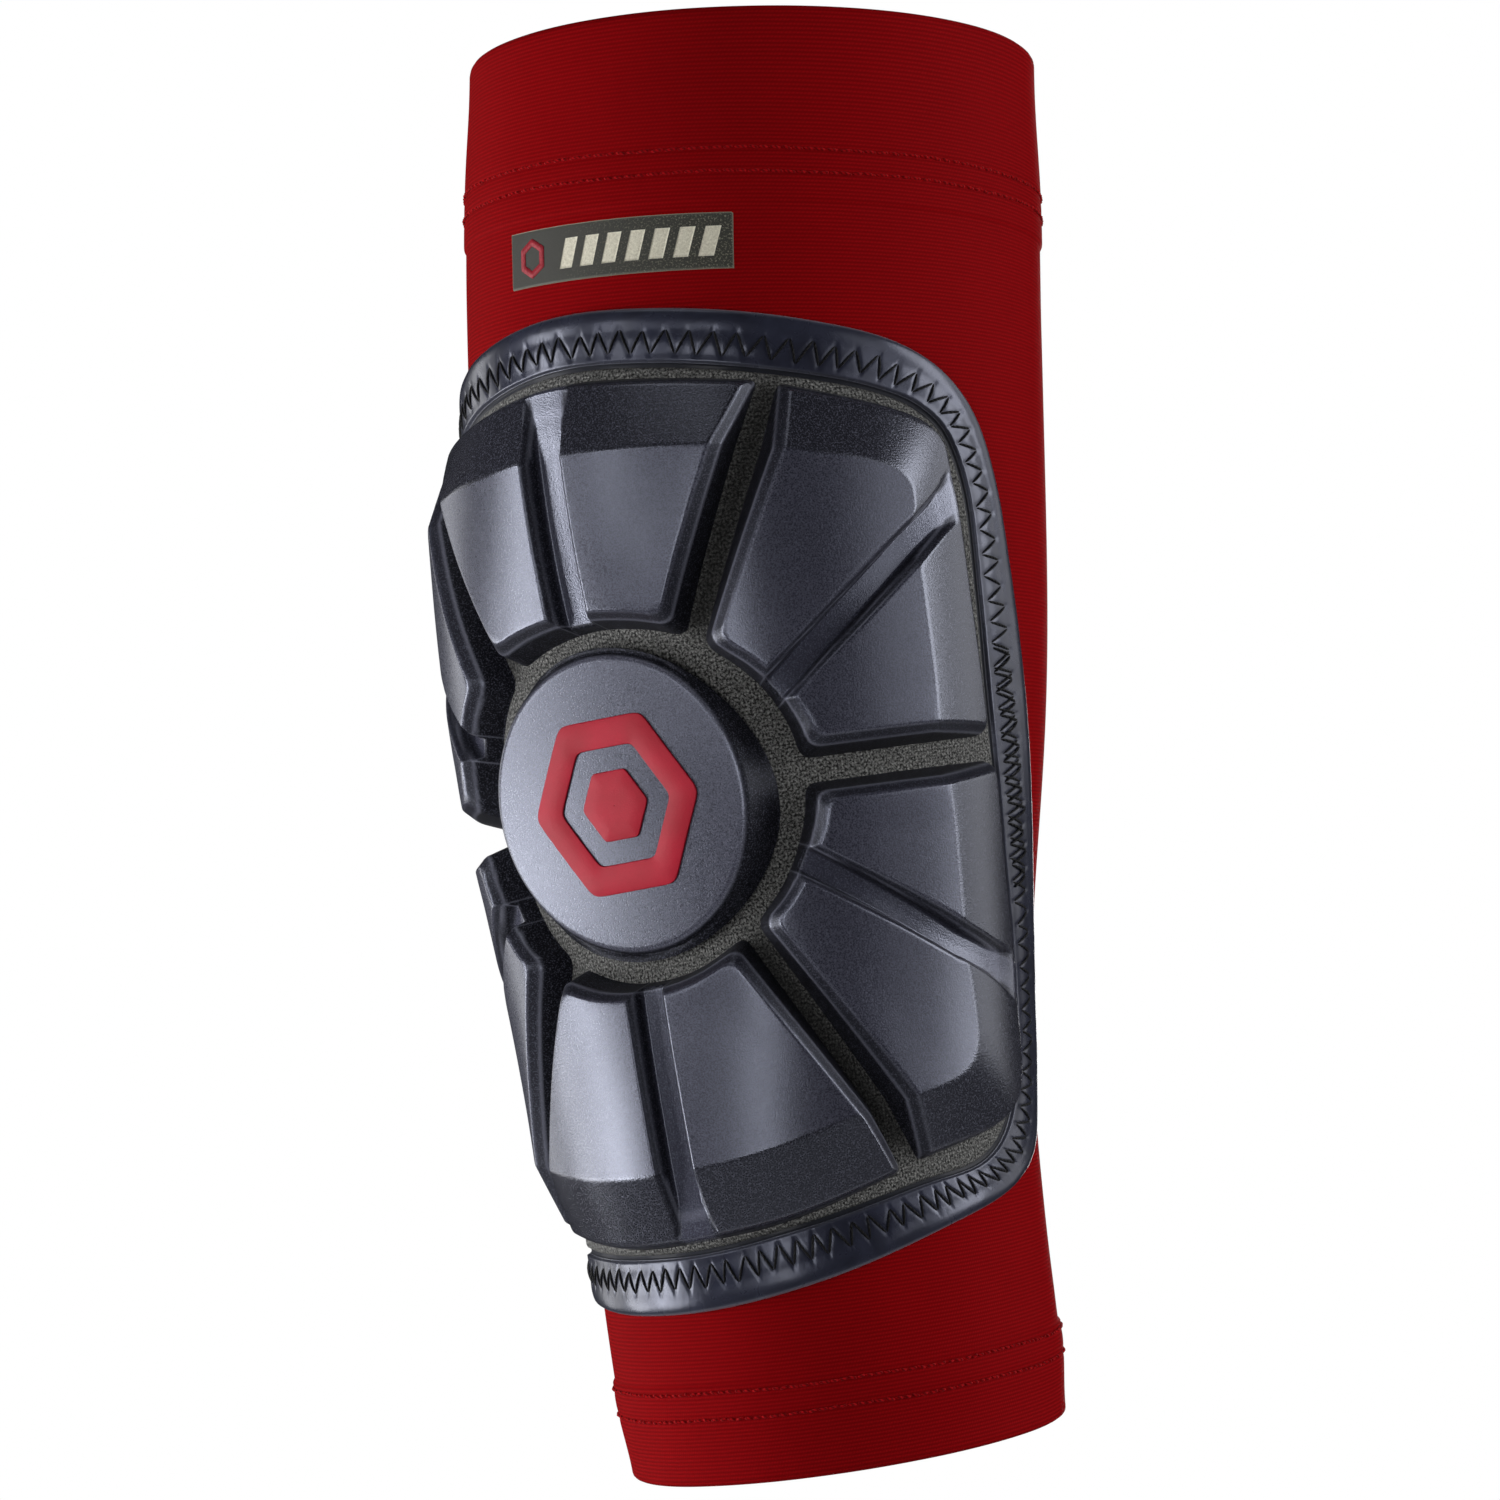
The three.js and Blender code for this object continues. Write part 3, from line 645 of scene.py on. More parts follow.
# ---- pad outline: edge film, textile and zigzag thread ----
# u, v of the film's outer edge, then of its inner edge, down the pad's right half.
FILM_ROWS = np.array([
    [0, 86, 0, 77.8], [22, 84.1, 20, 76], [44.5, 79.9, 42.5, 71.7], [62, 74.6, 57.3, 67.8],
    [71, 68.8, 65, 64.4], [77, 61, 70.2, 59.6], [81, 49, 74, 49], [84, 30, 75.3, 29],
    [87, 10, 76.4, 9], [91.5, -18, 79.8, -18], [95.5, -45, 83.8, -45], [94.5, -62, 82.3, -61],
    [88.5, -75, 76.3, -70.8], [77, -80.6, 67.5, -75.6], [51, -84.9, 49, -77.2],
    [25, -88.6, 23.5, -80], [0, -90, 0, -81.3]])
FILM_LOOP = np.concatenate([FILM_ROWS, FILM_ROWS[1:-1][::-1] * [-1, 1, -1, 1]])
FILM_AROUND, FILM_STEPS = 1440, 1500
FILM_REACH = 1.3                       # the film's inner edge laps this far over the textile's rim
SKIN_BASE, FILM_TOP = 0.45, 1.75       # undersides of film and textile, and the top of the film
PAD_CENTRE = np.array([0.0, -2.0])
film_outer = closed_catmull_rom(FILM_LOOP[:, :2], FILM_AROUND)
film_inner = closed_catmull_rom(FILM_LOOP[:, 2:], FILM_AROUND)
inwards = PAD_CENTRE - film_inner
film_inner += inwards / np.linalg.norm(inwards, axis=1)[:, None] * FILM_REACH
TEXTILE_TOP, TEXTILE_REACH = 1.62, 77  # and about how far its rim lies from the pad's centre
TEETH, TOOTH_OUT, TOOTH_IN = 150, 0.40, 0.86
OVERLAP_CORNERS, OVERLAP_AT = 23, 22   # the seam's end is sewn over its start, from this height on the right
THREAD_STEPS = 7
SHADOWED_GAPS = [[[22, 29], [38, 67]], [[23, -29], [44, -66]]]


def even_shares(points, count):
    """Shares of a closed outline's loop at which evenly spaced points lie."""
    at = np.concatenate([[0], np.cumsum(np.linalg.norm(np.roll(points, -1, 0) - points, axis=1))])
    return np.interp(np.arange(count) / count * at[-1], at, np.arange(len(points) + 1)) / len(points)


def on_film(t, f):
    """Pad position at share t of the loop and share f from the film's outer to its inner edge."""
    x = (np.asarray(t, float) % 1) * FILM_AROUND
    i, w = np.floor(x).astype(int) % FILM_AROUND, (x - np.floor(x))[..., None]
    outer, inner = (edge[i] * (1 - w) + edge[(i + 1) % FILM_AROUND] * w for edge in (film_outer, film_inner))
    f = np.asarray(f, float)[..., None]
    return outer * (1 - f) + inner * f


film_share = even_shares(film_outer, FILM_STEPS)
# Tooth corners at even spacing round the loop, with the small irregularity of a sewn line.
corner_share = np.interp(np.arange(2 * TEETH) / (2 * TEETH), np.arange(FILM_STEPS + 1) / FILM_STEPS,
                         np.append(film_share, 1.0))
jitter = RNG.normal(0, 1, (2, 2 * TEETH))
corner_t = corner_share + np.clip(jitter[0], -1.5, 1.5) * 0.10 / (2 * TEETH)
corner_f = np.where(np.arange(2 * TEETH) % 2 == 0, TOOTH_IN, TOOTH_OUT) + np.clip(jitter[1], -2, 2) * 0.018
loop_t, loop_f = np.append(corner_t, 1 + corner_t[0]), np.append(corner_f, corner_f[0])


def film_width(t):
    return np.linalg.norm(on_film(t, 1.0) - on_film(t, 0.0), axis=-1)


def film_height(t, f):
    """Top of the film: a rounded outer edge, a flat tape, and a dent where the thread pulls it down."""
    w = film_width(t)
    from_out, from_in = f * w, (1 - f) * w
    p = on_film(t, f)
    h = FILM_TOP + 0.15 * np.sin(math.pi * np.clip(f, 0, 1))
    h = h + 0.04 * waves(p[..., 0], p[..., 1], 13, 11, 2)
    h = h - 0.25 * bell(from_out, 0.8) + 0.05 * bell(from_out - 2.2, 0.8)
    from_thread = np.abs(f - np.interp(t % 1, loop_t, loop_f)) * w * 0.42
    h = h - 0.16 * bell(from_thread, 0.32)
    inside = smooth(f, TOOTH_OUT - 0.12, TOOTH_OUT + 0.05) * smooth(f, TOOTH_IN + 0.12, TOOTH_IN - 0.05)
    h = h + 0.05 * inside * np.cos(2 * math.pi * (f - (TOOTH_OUT + TOOTH_IN) / 2) / 0.5)
    return smin(h, 0.5 + 2.6 * (from_in + 0.05) + 0.4, 0.3)


def make_film():
    """Closed section: top face outer edge to inner edge, turned-in lip, and the flat underside."""
    top_f = np.concatenate([[0.0, 0.006, 0.02, 0.04], np.linspace(0.065, 0.96, 40), [0.975, 0.99, 1.0]])
    t, f = grid(film_share, top_f)
    w = film_width(t)
    edge = np.clip(f * w / 0.55, 0, 1)
    h = SKIN_BASE + (film_height(t, f) - SKIN_BASE) * np.sqrt(1 - (1 - edge) ** 2)
    # The film's outer edge, and faintly its inner edge, are painted pale as a highlight.
    rim = bell(f * w, 0.35) + 0.35 * bell((1 - f) * w, 0.35)
    top, under = on_film(t, f), on_film(*grid(film_share, np.linspace(1.0, 0.0, 8)))
    lip, lip_points = film_inner_lip()
    columns = np.concatenate([on_pad(top, h), lip_points, on_pad(under, 0.25)], 1)
    rims = [rim, np.zeros(lip.shape[:2]), np.zeros(under.shape[:2])]
    # The turned-in lip is painted black as shade.
    lips = [np.zeros(rim.shape), np.ones(lip.shape[:2]), np.zeros(under.shape[:2])]
    return surface("edge_film_border", columns, closed(np.concatenate([top, lip, under], 1)), FILM,
                   attributes={"rim": np.concatenate(rims, 1), "lip": np.concatenate(lips, 1)})


def film_inner_lip():
    """Places and points of the lip that fills the space between the film and the textile, painted black as
    shade.
    """
    inner = on_film(film_share, 1.0)
    steps = np.array([(0.05, 1.15), (0.15, 0.95), (0.4, 0.85), (0.8, 0.85), (1.3, 0.8), (1.3, 0.35)])
    away = inner - PAD_CENTRE
    away /= np.linalg.norm(away, axis=1)[:, None]
    places = inner[:, None] - away[:, None] * steps[:, :1]
    return places, on_pad(places, steps[:, 1])


def make_textile():
    """The woven backing inside the film, over the whole middle of the pad."""
    inset = 1 - np.array([0.65, 0.7, 0.85, 1.2, 1.7, 2.5, 3.5]) / TEXTILE_REACH
    k = np.concatenate([inset, np.linspace(0.94, 0.02, 70)])
    p = (film_inner[::4, None] - PAD_CENTRE) * k[None, :, None] + PAD_CENTRE
    edge = np.broadcast_to((1 - k) * TEXTILE_REACH - 0.65, p.shape[:2])
    top = TEXTILE_TOP + 0.06 * waves(p[..., 0], p[..., 1], 11, 21, 2) - 0.9 * bell(edge, 0.45)
    # Painted shadow: the four narrow gaps beside the long petals are darkened where the petals shade the
    # textile.
    lines = [np.array(ends, float) * [side, 1] for ends in SHADOWED_GAPS for side in (-1, 1)]
    gap = np.max([bell(distance_to_line(p, line), 3.2) for line in lines], 0)
    # The textile's rim, where it dips under the film's edge, is darkened there as painted shade.
    return slab("pad_textile_weave", on_pad(p, top), on_pad(p, np.minimum(top - 0.1, SKIN_BASE)), closed(p),
                TEXTILE, attributes={"groove_shade": bell(edge, 0.4), "gap": gap})


def thread_path(t, f, lift, sink):
    """Points along a sewn line, up over each stitch and down into the film at each corner, and the
    outward direction at each."""
    x = np.arange(THREAD_STEPS) / THREAD_STEPS
    t, f = ((ends[:-1, None] + np.diff(ends)[:, None] * x).ravel() for ends in (t, f))
    rise = np.tile(np.sin(math.pi * x) ** 0.6, len(t) // THREAD_STEPS)
    p = on_film(t, f)
    return on_pad(p, film_height(t, f) + sink + (lift - sink) * rise), normals_on(on_pad, p)


def make_zigzag():
    """The zigzag seam in one mesh, its end sewn over its start half a tooth out of step."""
    right = film_outer[: FILM_AROUND // 2]
    start = np.searchsorted(corner_t, float(np.argmin(np.abs(right[:, 1] - OVERLAP_AT))) / FILM_AROUND)
    over = slice(start, start + OVERLAP_CORNERS)
    over_t = corner_t[over] + 0.46 / (2 * TEETH)
    over_f = corner_f[over] + RNG.normal(0, 0.02, OVERLAP_CORNERS)
    points, quads, uvs, used = [], [], [], 0
    for t, f, lift, sink, radius, loop in ((loop_t, loop_f, 0.22, -0.30, 0.235, True),
                                           (over_t, over_f, 0.42, -0.25, 0.225, False)):
        path, up = thread_path(t, f, lift, sink)
        seam_points = tube(path, up, radius, loop)
        index, where = grid_quads(*seam_points.shape[:2], loop, True, flip=True, first=used)
        points.append(seam_points.reshape(-1, 3))
        quads.append(index)
        uvs.append(uv_at(tube_uv(path, loop), where))
        used += seam_points.shape[0] * seam_points.shape[1]
    return build_mesh("zigzag_thread", *(np.concatenate(part) for part in (points, quads, uvs)), None,
                      BLACK_THREAD)


film, textile, zigzag = make_film(), make_textile(), make_zigzag()
declare(film, "edge_film", "both", "edge_film")
declare(textile, "grey_textile", "both", "pad_textile")
declare(zigzag, "black_thread", "both", "zigzag_stitch")

# ---- petals ----
BLOCK_TOP, BEVEL_FOOT, CREASE_FLOOR, PAD_FLOOR = 9.0, 4.4, 4.8, 1.1
WALL_SLOPE, CHAMFER_SLOPE = 3.9, 1.35
CHAMFER_DROP, EDGE_DROP, LIP_DROP = 2.0, 0.9, 1.5     # how far chamfers fall: walls, outer edge, crease
SIDE_SPREAD = 0.80                       # side walls lean out more than the walls round the disc
LONG_CREASE, CORNER_CREASE = 4.4, 3.6    # half widths of the creases
SOFT = 0.16                              # rounding where faces meet
SHELL, CORE_GAP = 1.2, 0.3
DISH = 0.12                              # how far the faces sag in their middle
FLOOR_INSET, CREASE_SLOPE, LIP_SLOPE = 1.75, 4.6, 1.5
CORE_MARGIN = 9                          # grid lines between the outline and the foam
# u, v at the petal's inner edge, where its bevel starts, and at its outer edge, for each rib.
TOP_HALF = np.array([
    [19, 26.7, 31.8, 58.2, 36.8, 69.6], [10, 29.3, 15.5, 59.4, 17.5, 72.3], [0, 30.4, 0, 60.2, 0, 73.8]])
BOTTOM_HALF = np.array([
    [20.4, -26.2, 39.6, -59.8, 44.4, -72.8], [10, -30.1, 17, -63.6, 20, -77.1],
    [0, -31.2, 0, -64.6, 0, -77.9]])
UPPER_SIDE = np.array([
    [21.6, 24.9, 35.6, 57.4, 39.6, 68.9], [28, 19.2, 55.8, 50.8, 64.5, 60.3],
    [31.8, 14.3, 57.2, 38.3, 68.9, 48], [34.4, 8.6, 57.8, 21, 70.6, 25],
    [35.8, 2.5, 58.2, 2.5, 72.4, 2.5]])
LOWER_SIDE = np.array([
    [35.8, -1.5, 59, -1.6, 73.9, -1.8], [34.9, -7.5, 59.6, -16, 75.8, -20],
    [32.2, -14, 59.8, -33.6, 78.3, -43.5], [28.5, -19.3, 59.6, -54.2, 75.5, -66],
    [22.9, -24.5, 43.5, -60.2, 48.3, -71.8]])
# Spacing of the petal grid's lines, in millimetres from the sides, the ends and the crease.
FROM_SIDE = np.array([0, .2, .4, .6, .8, 1.0, 1.2, 1.4, 1.6, 1.75, 1.9, 2.05, 2.2, 2.4, 2.7, 3.0, 3.3, 3.6,
                      3.8, 4.0, 4.4, 5.0])
FROM_INNER = np.array([0, .2, .4, .6, .8, 1.0, 1.2, 1.35, 1.5, 1.65, 1.8, 2.0, 2.3, 2.6, 2.85, 3.1, 3.4,
                       4.0])
FROM_OUTER = np.array([0, .15, .3, .45, .6, .75, .9, 1.05, 1.2, 1.35, 1.5, 1.8, 2.3, 3.0])
FROM_BEVEL = np.array([2.4, 1.6, 1.1, .8, .55, .35, .2, .1])
OFF_LIP = np.array([2.0, 1.2, .7, .35, .1, -.1, -.3, -.55, -.8, -1.05, -1.3, -1.5, -1.65, -1.8, -2.0, -2.3])
IN_CREASE = np.array([0.9, 0.45])


def flipped(ribs):
    return ribs * [-1, 1, -1, 1, -1, 1]


def both_halves(half):
    return np.concatenate([half, flipped(half)[::-1][1:]])


def rib_curve(ribs, level, a):
    """The line through the ribs' points at one level (0 inner edge, 1 bevel start, 2 outer edge)."""
    p = ribs.reshape(-1, 3, 2)[:, level]
    p = np.concatenate([[2 * p[0] - p[1]], p, [2 * p[-1] - p[-2]]])
    i = np.clip(np.floor(a).astype(int), 0, len(ribs) - 2)
    w = (a - i)[..., None]
    p0, p1, p2, p3 = p[i], p[i + 1], p[i + 2], p[i + 3]
    return 0.5 * (2 * p1 + (p2 - p0) * w + (2 * p0 - 5 * p1 + 4 * p2 - p3) * w ** 2
                  + (3 * p1 - p0 - 3 * p2 + p3) * w ** 3)


def petal_place(ribs, a, b):
    """Pad position at rib number a, and at b from 0 at the inner edge over 1 at the bevel to 2."""
    a, b = np.broadcast_arrays(np.asarray(a, float), np.asarray(b, float))
    inner, start, outer = (rib_curve(ribs, level, a) for level in range(3))
    w1, w2 = np.clip(b, 0, 1)[..., None], np.clip(b - 1, 0, 1)[..., None]
    return np.where(b[..., None] <= 1, inner + (start - inner) * w1, start + (outer - start) * w2)


def wall_height(d, top, drop):
    """Height at distance d from the petal's outline: a steep wall, then a chamfer that rises to the top."""
    foot = (top - drop - PAD_FLOOR) / WALL_SLOPE
    return smin(PAD_FLOOR + WALL_SLOPE * d, top - drop + CHAMFER_SLOPE * (d - foot), 0.12)


def petal_grid(ribs, crease_half):
    """Pad positions of the petal's grid, closer together at its edges and crease, with a, b for each."""
    lip = crease_half + OFF_LIP
    l1, l2 = np.linalg.norm(np.diff(ribs.reshape(-1, 3, 2), axis=1), axis=-1).mean(0)
    b_rows = np.concatenate([
        FROM_INNER / l1, np.linspace(FROM_INNER[-1] / l1, 1 - FROM_BEVEL[0] / l1, 24)[1:-1],
        1 - FROM_BEVEL / l1, [1], 1 + FROM_BEVEL[::-1] / l2,
        np.linspace(1 + FROM_BEVEL[0] / l2, 2 - FROM_OUTER[-1] / l2, 10)[1:-1], 2 - FROM_OUTER[::-1] / l2])
    dense = np.linspace(0, 2, 161)
    columns = []
    for b in b_rows:
        row = []
        for half in (dense, 4 - dense):
            p = petal_place(ribs, half, b)
            at = np.concatenate([[0], np.cumsum(np.linalg.norm(np.diff(p, axis=0), axis=1))])
            room = np.linspace(FROM_SIDE[-1], at[-1] - lip[0], 18)[1:-1]
            stops = np.concatenate([FROM_SIDE, room, at[-1] - lip, at[-1] - IN_CREASE])
            row.append(np.interp(stops, at, half))
        columns.append(np.concatenate([row[0], [2.0], row[1][::-1]]))
    a = np.array(columns).T
    b = np.broadcast_to(b_rows, a.shape)
    return petal_place(ribs, a, b), a, b


def petal_height(ribs, crease_half, p, a, b, inset):
    """Height over the knit, with the shares that the material needs. inset moves every wall inwards."""
    line = np.linspace(0, 4, 81)
    sides = [petal_place(ribs, end, np.linspace(0, 2, 40)) for end in (0.0, 4.0)]
    d_side = SIDE_SPREAD * np.minimum(*[distance_to_line(p, side) for side in sides])
    d_in, d_out = (distance_to_line(p, rib_curve(ribs, level, line)) for level in (0, 2))
    bevel_fall = BLOCK_TOP - BEVEL_FOOT
    level = BLOCK_TOP - bevel_fall * np.clip(b - 1, 0, 1)
    dish = -DISH * smooth(smin(d_side, d_in, 1.0), 3.2, 9)
    bevel = np.where(b > 1, level, BLOCK_TOP + 1.2 * bevel_fall * (1 - b))
    top = smin(BLOCK_TOP + dish, bevel, SOFT)
    wall = wall_height(smin(d_side, d_in, 2.0) - inset, level, CHAMFER_DROP)
    edge = wall_height(smin(d_side, d_out, 1.6) - inset, level, EDGE_DROP)
    # The crease: a nearly flat floor between steep walls with chamfered lips, wider at its outer end.
    x = distance_to_line(p, petal_place(ribs, 2.0, np.linspace(0, 2, 21)))
    t = np.clip(b - 1, 0, 1.0)
    floor_half = crease_half - FLOOR_INSET + smooth(t, 0.3, 1.0) ** 2 - inset * 0.3
    lip = level - LIP_DROP + LIP_SLOPE * (x - floor_half - 0.55)
    meet = BEVEL_FOOT + 0.1 - CREASE_FLOOR if crease_half == LONG_CREASE else 0.2
    ledge = CREASE_FLOOR + meet * smooth(t, 0.25, 1.0)
    crease = smax(smin(ledge + CREASE_SLOPE * (x - floor_half), lip, 0.12), ledge + 0.02 * x, 0.35)
    h = smin(smin(top, crease, SOFT), smin(wall, edge, SOFT), SOFT)
    h = np.maximum(h, PAD_FLOOR - 0.1)
    fall = top - h
    # The shares paint light and shade: crease floors lighter as painted light, walls darker as painted
    # shade, and a painted highlight along the chamfer edges and the top's rim.
    floor_light_share = smooth(x, floor_half + 0.3, floor_half - 0.2) * smooth(d_in, 1.2, 2.2)
    wall_shade_share = (0.75 * smooth(fall, 0.2, 0.55) + 0.25 * smooth(fall, 1.6, 2.6)) * (1 - floor_light_share)
    painted_edge_light_shade = bell(wall - level + CHAMFER_DROP, 0.28) * smooth(fall, 1.0, 1.6)
    painted_edge_light_shade = np.maximum(painted_edge_light_shade, bell(crease - level + LIP_DROP, 0.26) * smooth(fall, 0.8, 1.3))
    painted_edge_light_shade = np.maximum(painted_edge_light_shade, 0.2 * bell(fall - 0.12, 0.10))
    return h, {"bevel": smooth(b, 0.985, 1.015) * smooth(fall, 0.5, 0.15), "wall": wall_shade_share, "painted_edge_light_shade": painted_edge_light_shade,
               "floor": floor_light_share}


def make_petal(name, ribs, crease_half):
    p, a, b = petal_grid(ribs, crease_half)
    h, shares = petal_height(ribs, crease_half, p, a, b, 0.0)
    inner_h = petal_height(ribs, crease_half, p, a, b, SHELL * 0.75)[0] - SHELL
    inner_h = np.clip(inner_h, PAD_FLOOR - 0.6, h - 0.25)
    flip = np.cross(p[1, 0] - p[0, 0], p[0, 1] - p[0, 0]) < 0
    shell = slab(name + "_shell", on_pad(p, h), on_pad(p, inner_h), p, SATIN, False, shares, flip)
    keep = (slice(CORE_MARGIN, -CORE_MARGIN),) * 2
    q = p[keep]
    core_h = petal_height(ribs, crease_half, q, a[keep], b[keep], SHELL + CORE_GAP)[0] - SHELL - CORE_GAP
    lowest = PAD_FLOOR + 0.05
    core_h = np.clip(core_h, lowest, np.maximum(inner_h[keep] - CORE_GAP, lowest))
    core = slab(name + "_foam", on_pad(q, core_h), on_pad(q, PAD_FLOOR - 0.2), q, FOAM, False, None, flip)
    return shell, core


PETALS = {
    "petal_top": (both_halves(TOP_HALF), LONG_CREASE, "upper"),
    "petal_upper_right": (UPPER_SIDE, CORNER_CREASE, "upper"),
    "petal_upper_left": (flipped(UPPER_SIDE), CORNER_CREASE, "upper"),
    "petal_lower_right": (LOWER_SIDE, CORNER_CREASE, "lower"),
    "petal_lower_left": (flipped(LOWER_SIDE), CORNER_CREASE, "lower"),
    "petal_bottom": (both_halves(BOTTOM_HALF), LONG_CREASE, "lower"),
}
for name, (ribs, crease_half, body) in PETALS.items():
    shell, core = make_petal(name, ribs, crease_half)
    declare(shell, "satin_urethane", body, name)
    declare(core, "foam", body, name + "_core")

# ---- disc ----
DISC_CENTRE, DISC_LEAN = np.array([0, -52.8, 0]), math.radians(7)
DISC_RADIUS, DISC_FOOT, DISC_FILLET, DISC_CROWN = 28.1, 29.2, 1.9, 1.7
RING_OUTER, RING_INNER, CENTRE_OUTER = 18.6, 12.4, 7.4      # corner radii of the emblem's hexagons
SETTLE_STEPS = 14
FACE_RINGS = (0.05, 3, 6, 9, 12, 15, 18, 20.5, 22.5, 24.2, 25.4)
TILT_ROOM_UP, TILT_ROOM_DOWN = 0.112, 0.082     # rise of the disc's foot per mm above and below its middle
lean = Matrix(((1, 0, 0), (0, -math.sin(DISC_LEAN), -math.cos(DISC_LEAN)),
               (0, math.cos(DISC_LEAN), -math.sin(DISC_LEAN))))
DISC_TURN = np.array(lean @ Matrix.Rotation(TURN, 3, "Z"))


def crown_at(r, radius):
    """How far the disc's slightly crowned face has fallen at distance r from its centre."""
    return DISC_CROWN * (r / radius) ** 2


def on_disc(r, angle, depth):
    x, y, z = r * np.cos(angle), r * np.sin(angle), -np.asarray(depth, float)
    return np.stack(np.broadcast_arrays(x, y, z), -1) @ DISC_TURN.T + DISC_CENTRE


def under_disc(points, h):
    """Where lines along Y through these points meet the pad's surface at height h."""
    x, z = points[..., 0], points[..., 2]
    s, phi = z.copy(), np.zeros_like(z)
    for _ in range(SETTLE_STEPS):
        phi = np.arcsin(x / (radius_at(s) * ARM_OVAL + h - elbow_flat(phi, s)))
        s = s + z - on_sleeve(phi, s, h)[..., 2]
    return on_sleeve(phi, s, h)


def foot_clearance(points):
    """Room under the disc's edge for its tilt both ways, growing upwards and downwards."""
    z = points[..., 2]
    return np.where(z > 0, TILT_ROOM_UP, TILT_ROOM_DOWN) * np.sqrt(z ** 2 + 16.0)


def disc_surface(drop, foot_h, angles):
    """Face, rounded edge and wall of the disc, from its centre outwards, drop inside the outer face."""
    radius, fillet = DISC_RADIUS - drop, DISC_FILLET
    face = [(r, crown_at(r, radius)) for r in FACE_RINGS]
    start = radius - fillet
    turn = [(start + fillet * math.sin(a), fillet * 0.9 * (1 - math.cos(a)) + crown_at(start, radius))
            for a in np.radians(np.linspace(4, 82, 12))]
    rows = [on_disc(r, angles, d + drop) for r, d in face + turn]
    edge = on_disc(DISC_FOOT - drop, angles, 0.0)
    foot, last = under_disc(edge, foot_h + foot_clearance(edge)), rows[-1]
    reach = np.linalg.norm(foot - last, axis=-1)[..., None]
    for w in (0.2, 0.4, 0.6, 0.8, 0.92, 1.0):
        bulge = w + 0.10 * math.sin(math.pi * w) - w
        rows.append(last * (1 - w) + foot * w + np.array([0, -1, 0]) * bulge * reach)
    return np.stack(rows, 1)


def make_disc():
    angles = ring_angles(180)
    outer, inner = disc_surface(0.0, PAD_FLOOR, angles), disc_surface(SHELL, PAD_FLOOR, angles)
    j = np.broadcast_to(np.arange(outer.shape[1]), outer.shape[:2]) - len(FACE_RINGS)
    none = np.zeros(j.shape)
    # The disc's rounded edge and wall are darkened as painted shade, with a painted highlight along its
    # rounded edge.
    shares = {"bevel": none, "wall": smooth(j, 3, 8), "painted_edge_light_shade": bell(j - 4, 1.6) * 0.5, "floor": none}
    uv = closed(((outer - DISC_CENTRE) @ DISC_TURN)[..., :2])
    shell = slab("centre_disc_shell", outer, inner, uv, SATIN, attributes=shares)
    top = disc_surface(SHELL + CORE_GAP, PAD_FLOOR + 0.1, angles[::3])
    floor = under_disc(top, PAD_FLOOR - 0.1 + foot_clearance(top))
    return shell, slab("centre_disc_foam", top, floor, closed(top[..., :2]), FOAM)


def hexagon_radius(angle, corner, sharp=26):
    """Distance to the edge of a hexagon with softened corners, corner being its corner radius."""
    facing = [np.maximum(np.cos(angle - k * math.pi / 3), 0) ** sharp for k in range(6)]
    return corner * math.cos(math.pi / 6) * sum(facing) ** (-1 / sharp)


def make_emblem(name, outer, inner):
    """A flat inlay with softened edges, standing a little proud of the disc's face."""
    angles = ring_angles(240)
    ro = hexagon_radius(angles - math.pi / 6, outer)
    ri = hexagon_radius(angles - math.pi / 6, inner) if inner else np.full_like(ro, 0.05)
    section = [(ri, 0.15), (ri, -0.22), (ri + 0.06, -0.32), (ri + 0.22, -0.38), (ri * 0.5 + ro * 0.5, -0.38),
               (ro - 0.22, -0.38), (ro - 0.06, -0.32), (ro, -0.22), (ro, 0.15)]
    if not inner:
        section = [(ri, -0.38), *section[3:], (ri, 0.15)]
    points = np.stack([on_disc(r, angles, d + crown_at(r, DISC_RADIUS)) for r, d in section], 1)
    # The inlay's foot, where it meets the disc, is painted dark as shade.
    painted_edge_light_shade = np.broadcast_to([1.0 if d > -0.2 else (0.5 if d > -0.3 else 0.0) for _, d in section],
                           points.shape[:2])
    return surface(name, points, closed(points[..., [0, 2]]), INLAY, attributes={"painted_edge_light_shade": painted_edge_light_shade})


disc, disc_core = make_disc()
declare(disc, "satin_urethane", "disc", "centre_disc")
declare(disc_core, "foam", "disc", "centre_disc_core")
declare(make_emblem("emblem_hexagon_ring", RING_OUTER, RING_INNER), "red_inlay", "disc", "emblem_ring")
declare(make_emblem("emblem_hexagon_centre", CENTRE_OUTER, 0), "red_inlay", "disc", "emblem_centre")

# ---- label: angles round the sleeve in degrees, heights along it in millimetres ----
LABEL_LEFT, LABEL_RIGHT, LABEL_LOW, LABEL_HIGH = -20.0, 32.0, 92.0, 102.0
LABEL_TOP, PRINT_BASE, PRINT_TOP = 0.16, 0.12, 0.24
HEXAGON_PHI, HEXAGON_S, HEXAGON_OUTER, HEXAGON_INNER = math.radians(-13.2), 97.0, 3.6, 2.2
LABEL_RADIUS = 52.5                      # of the sleeve where the label lies
BARS, BAR_FROM, BAR_STEP, BAR_WIDTH, BAR_LOW, BAR_HIGH = 7, -5.6, 5.1, 3.1, 94.3, 99.6
BAR_SLANT = math.radians(1.6)


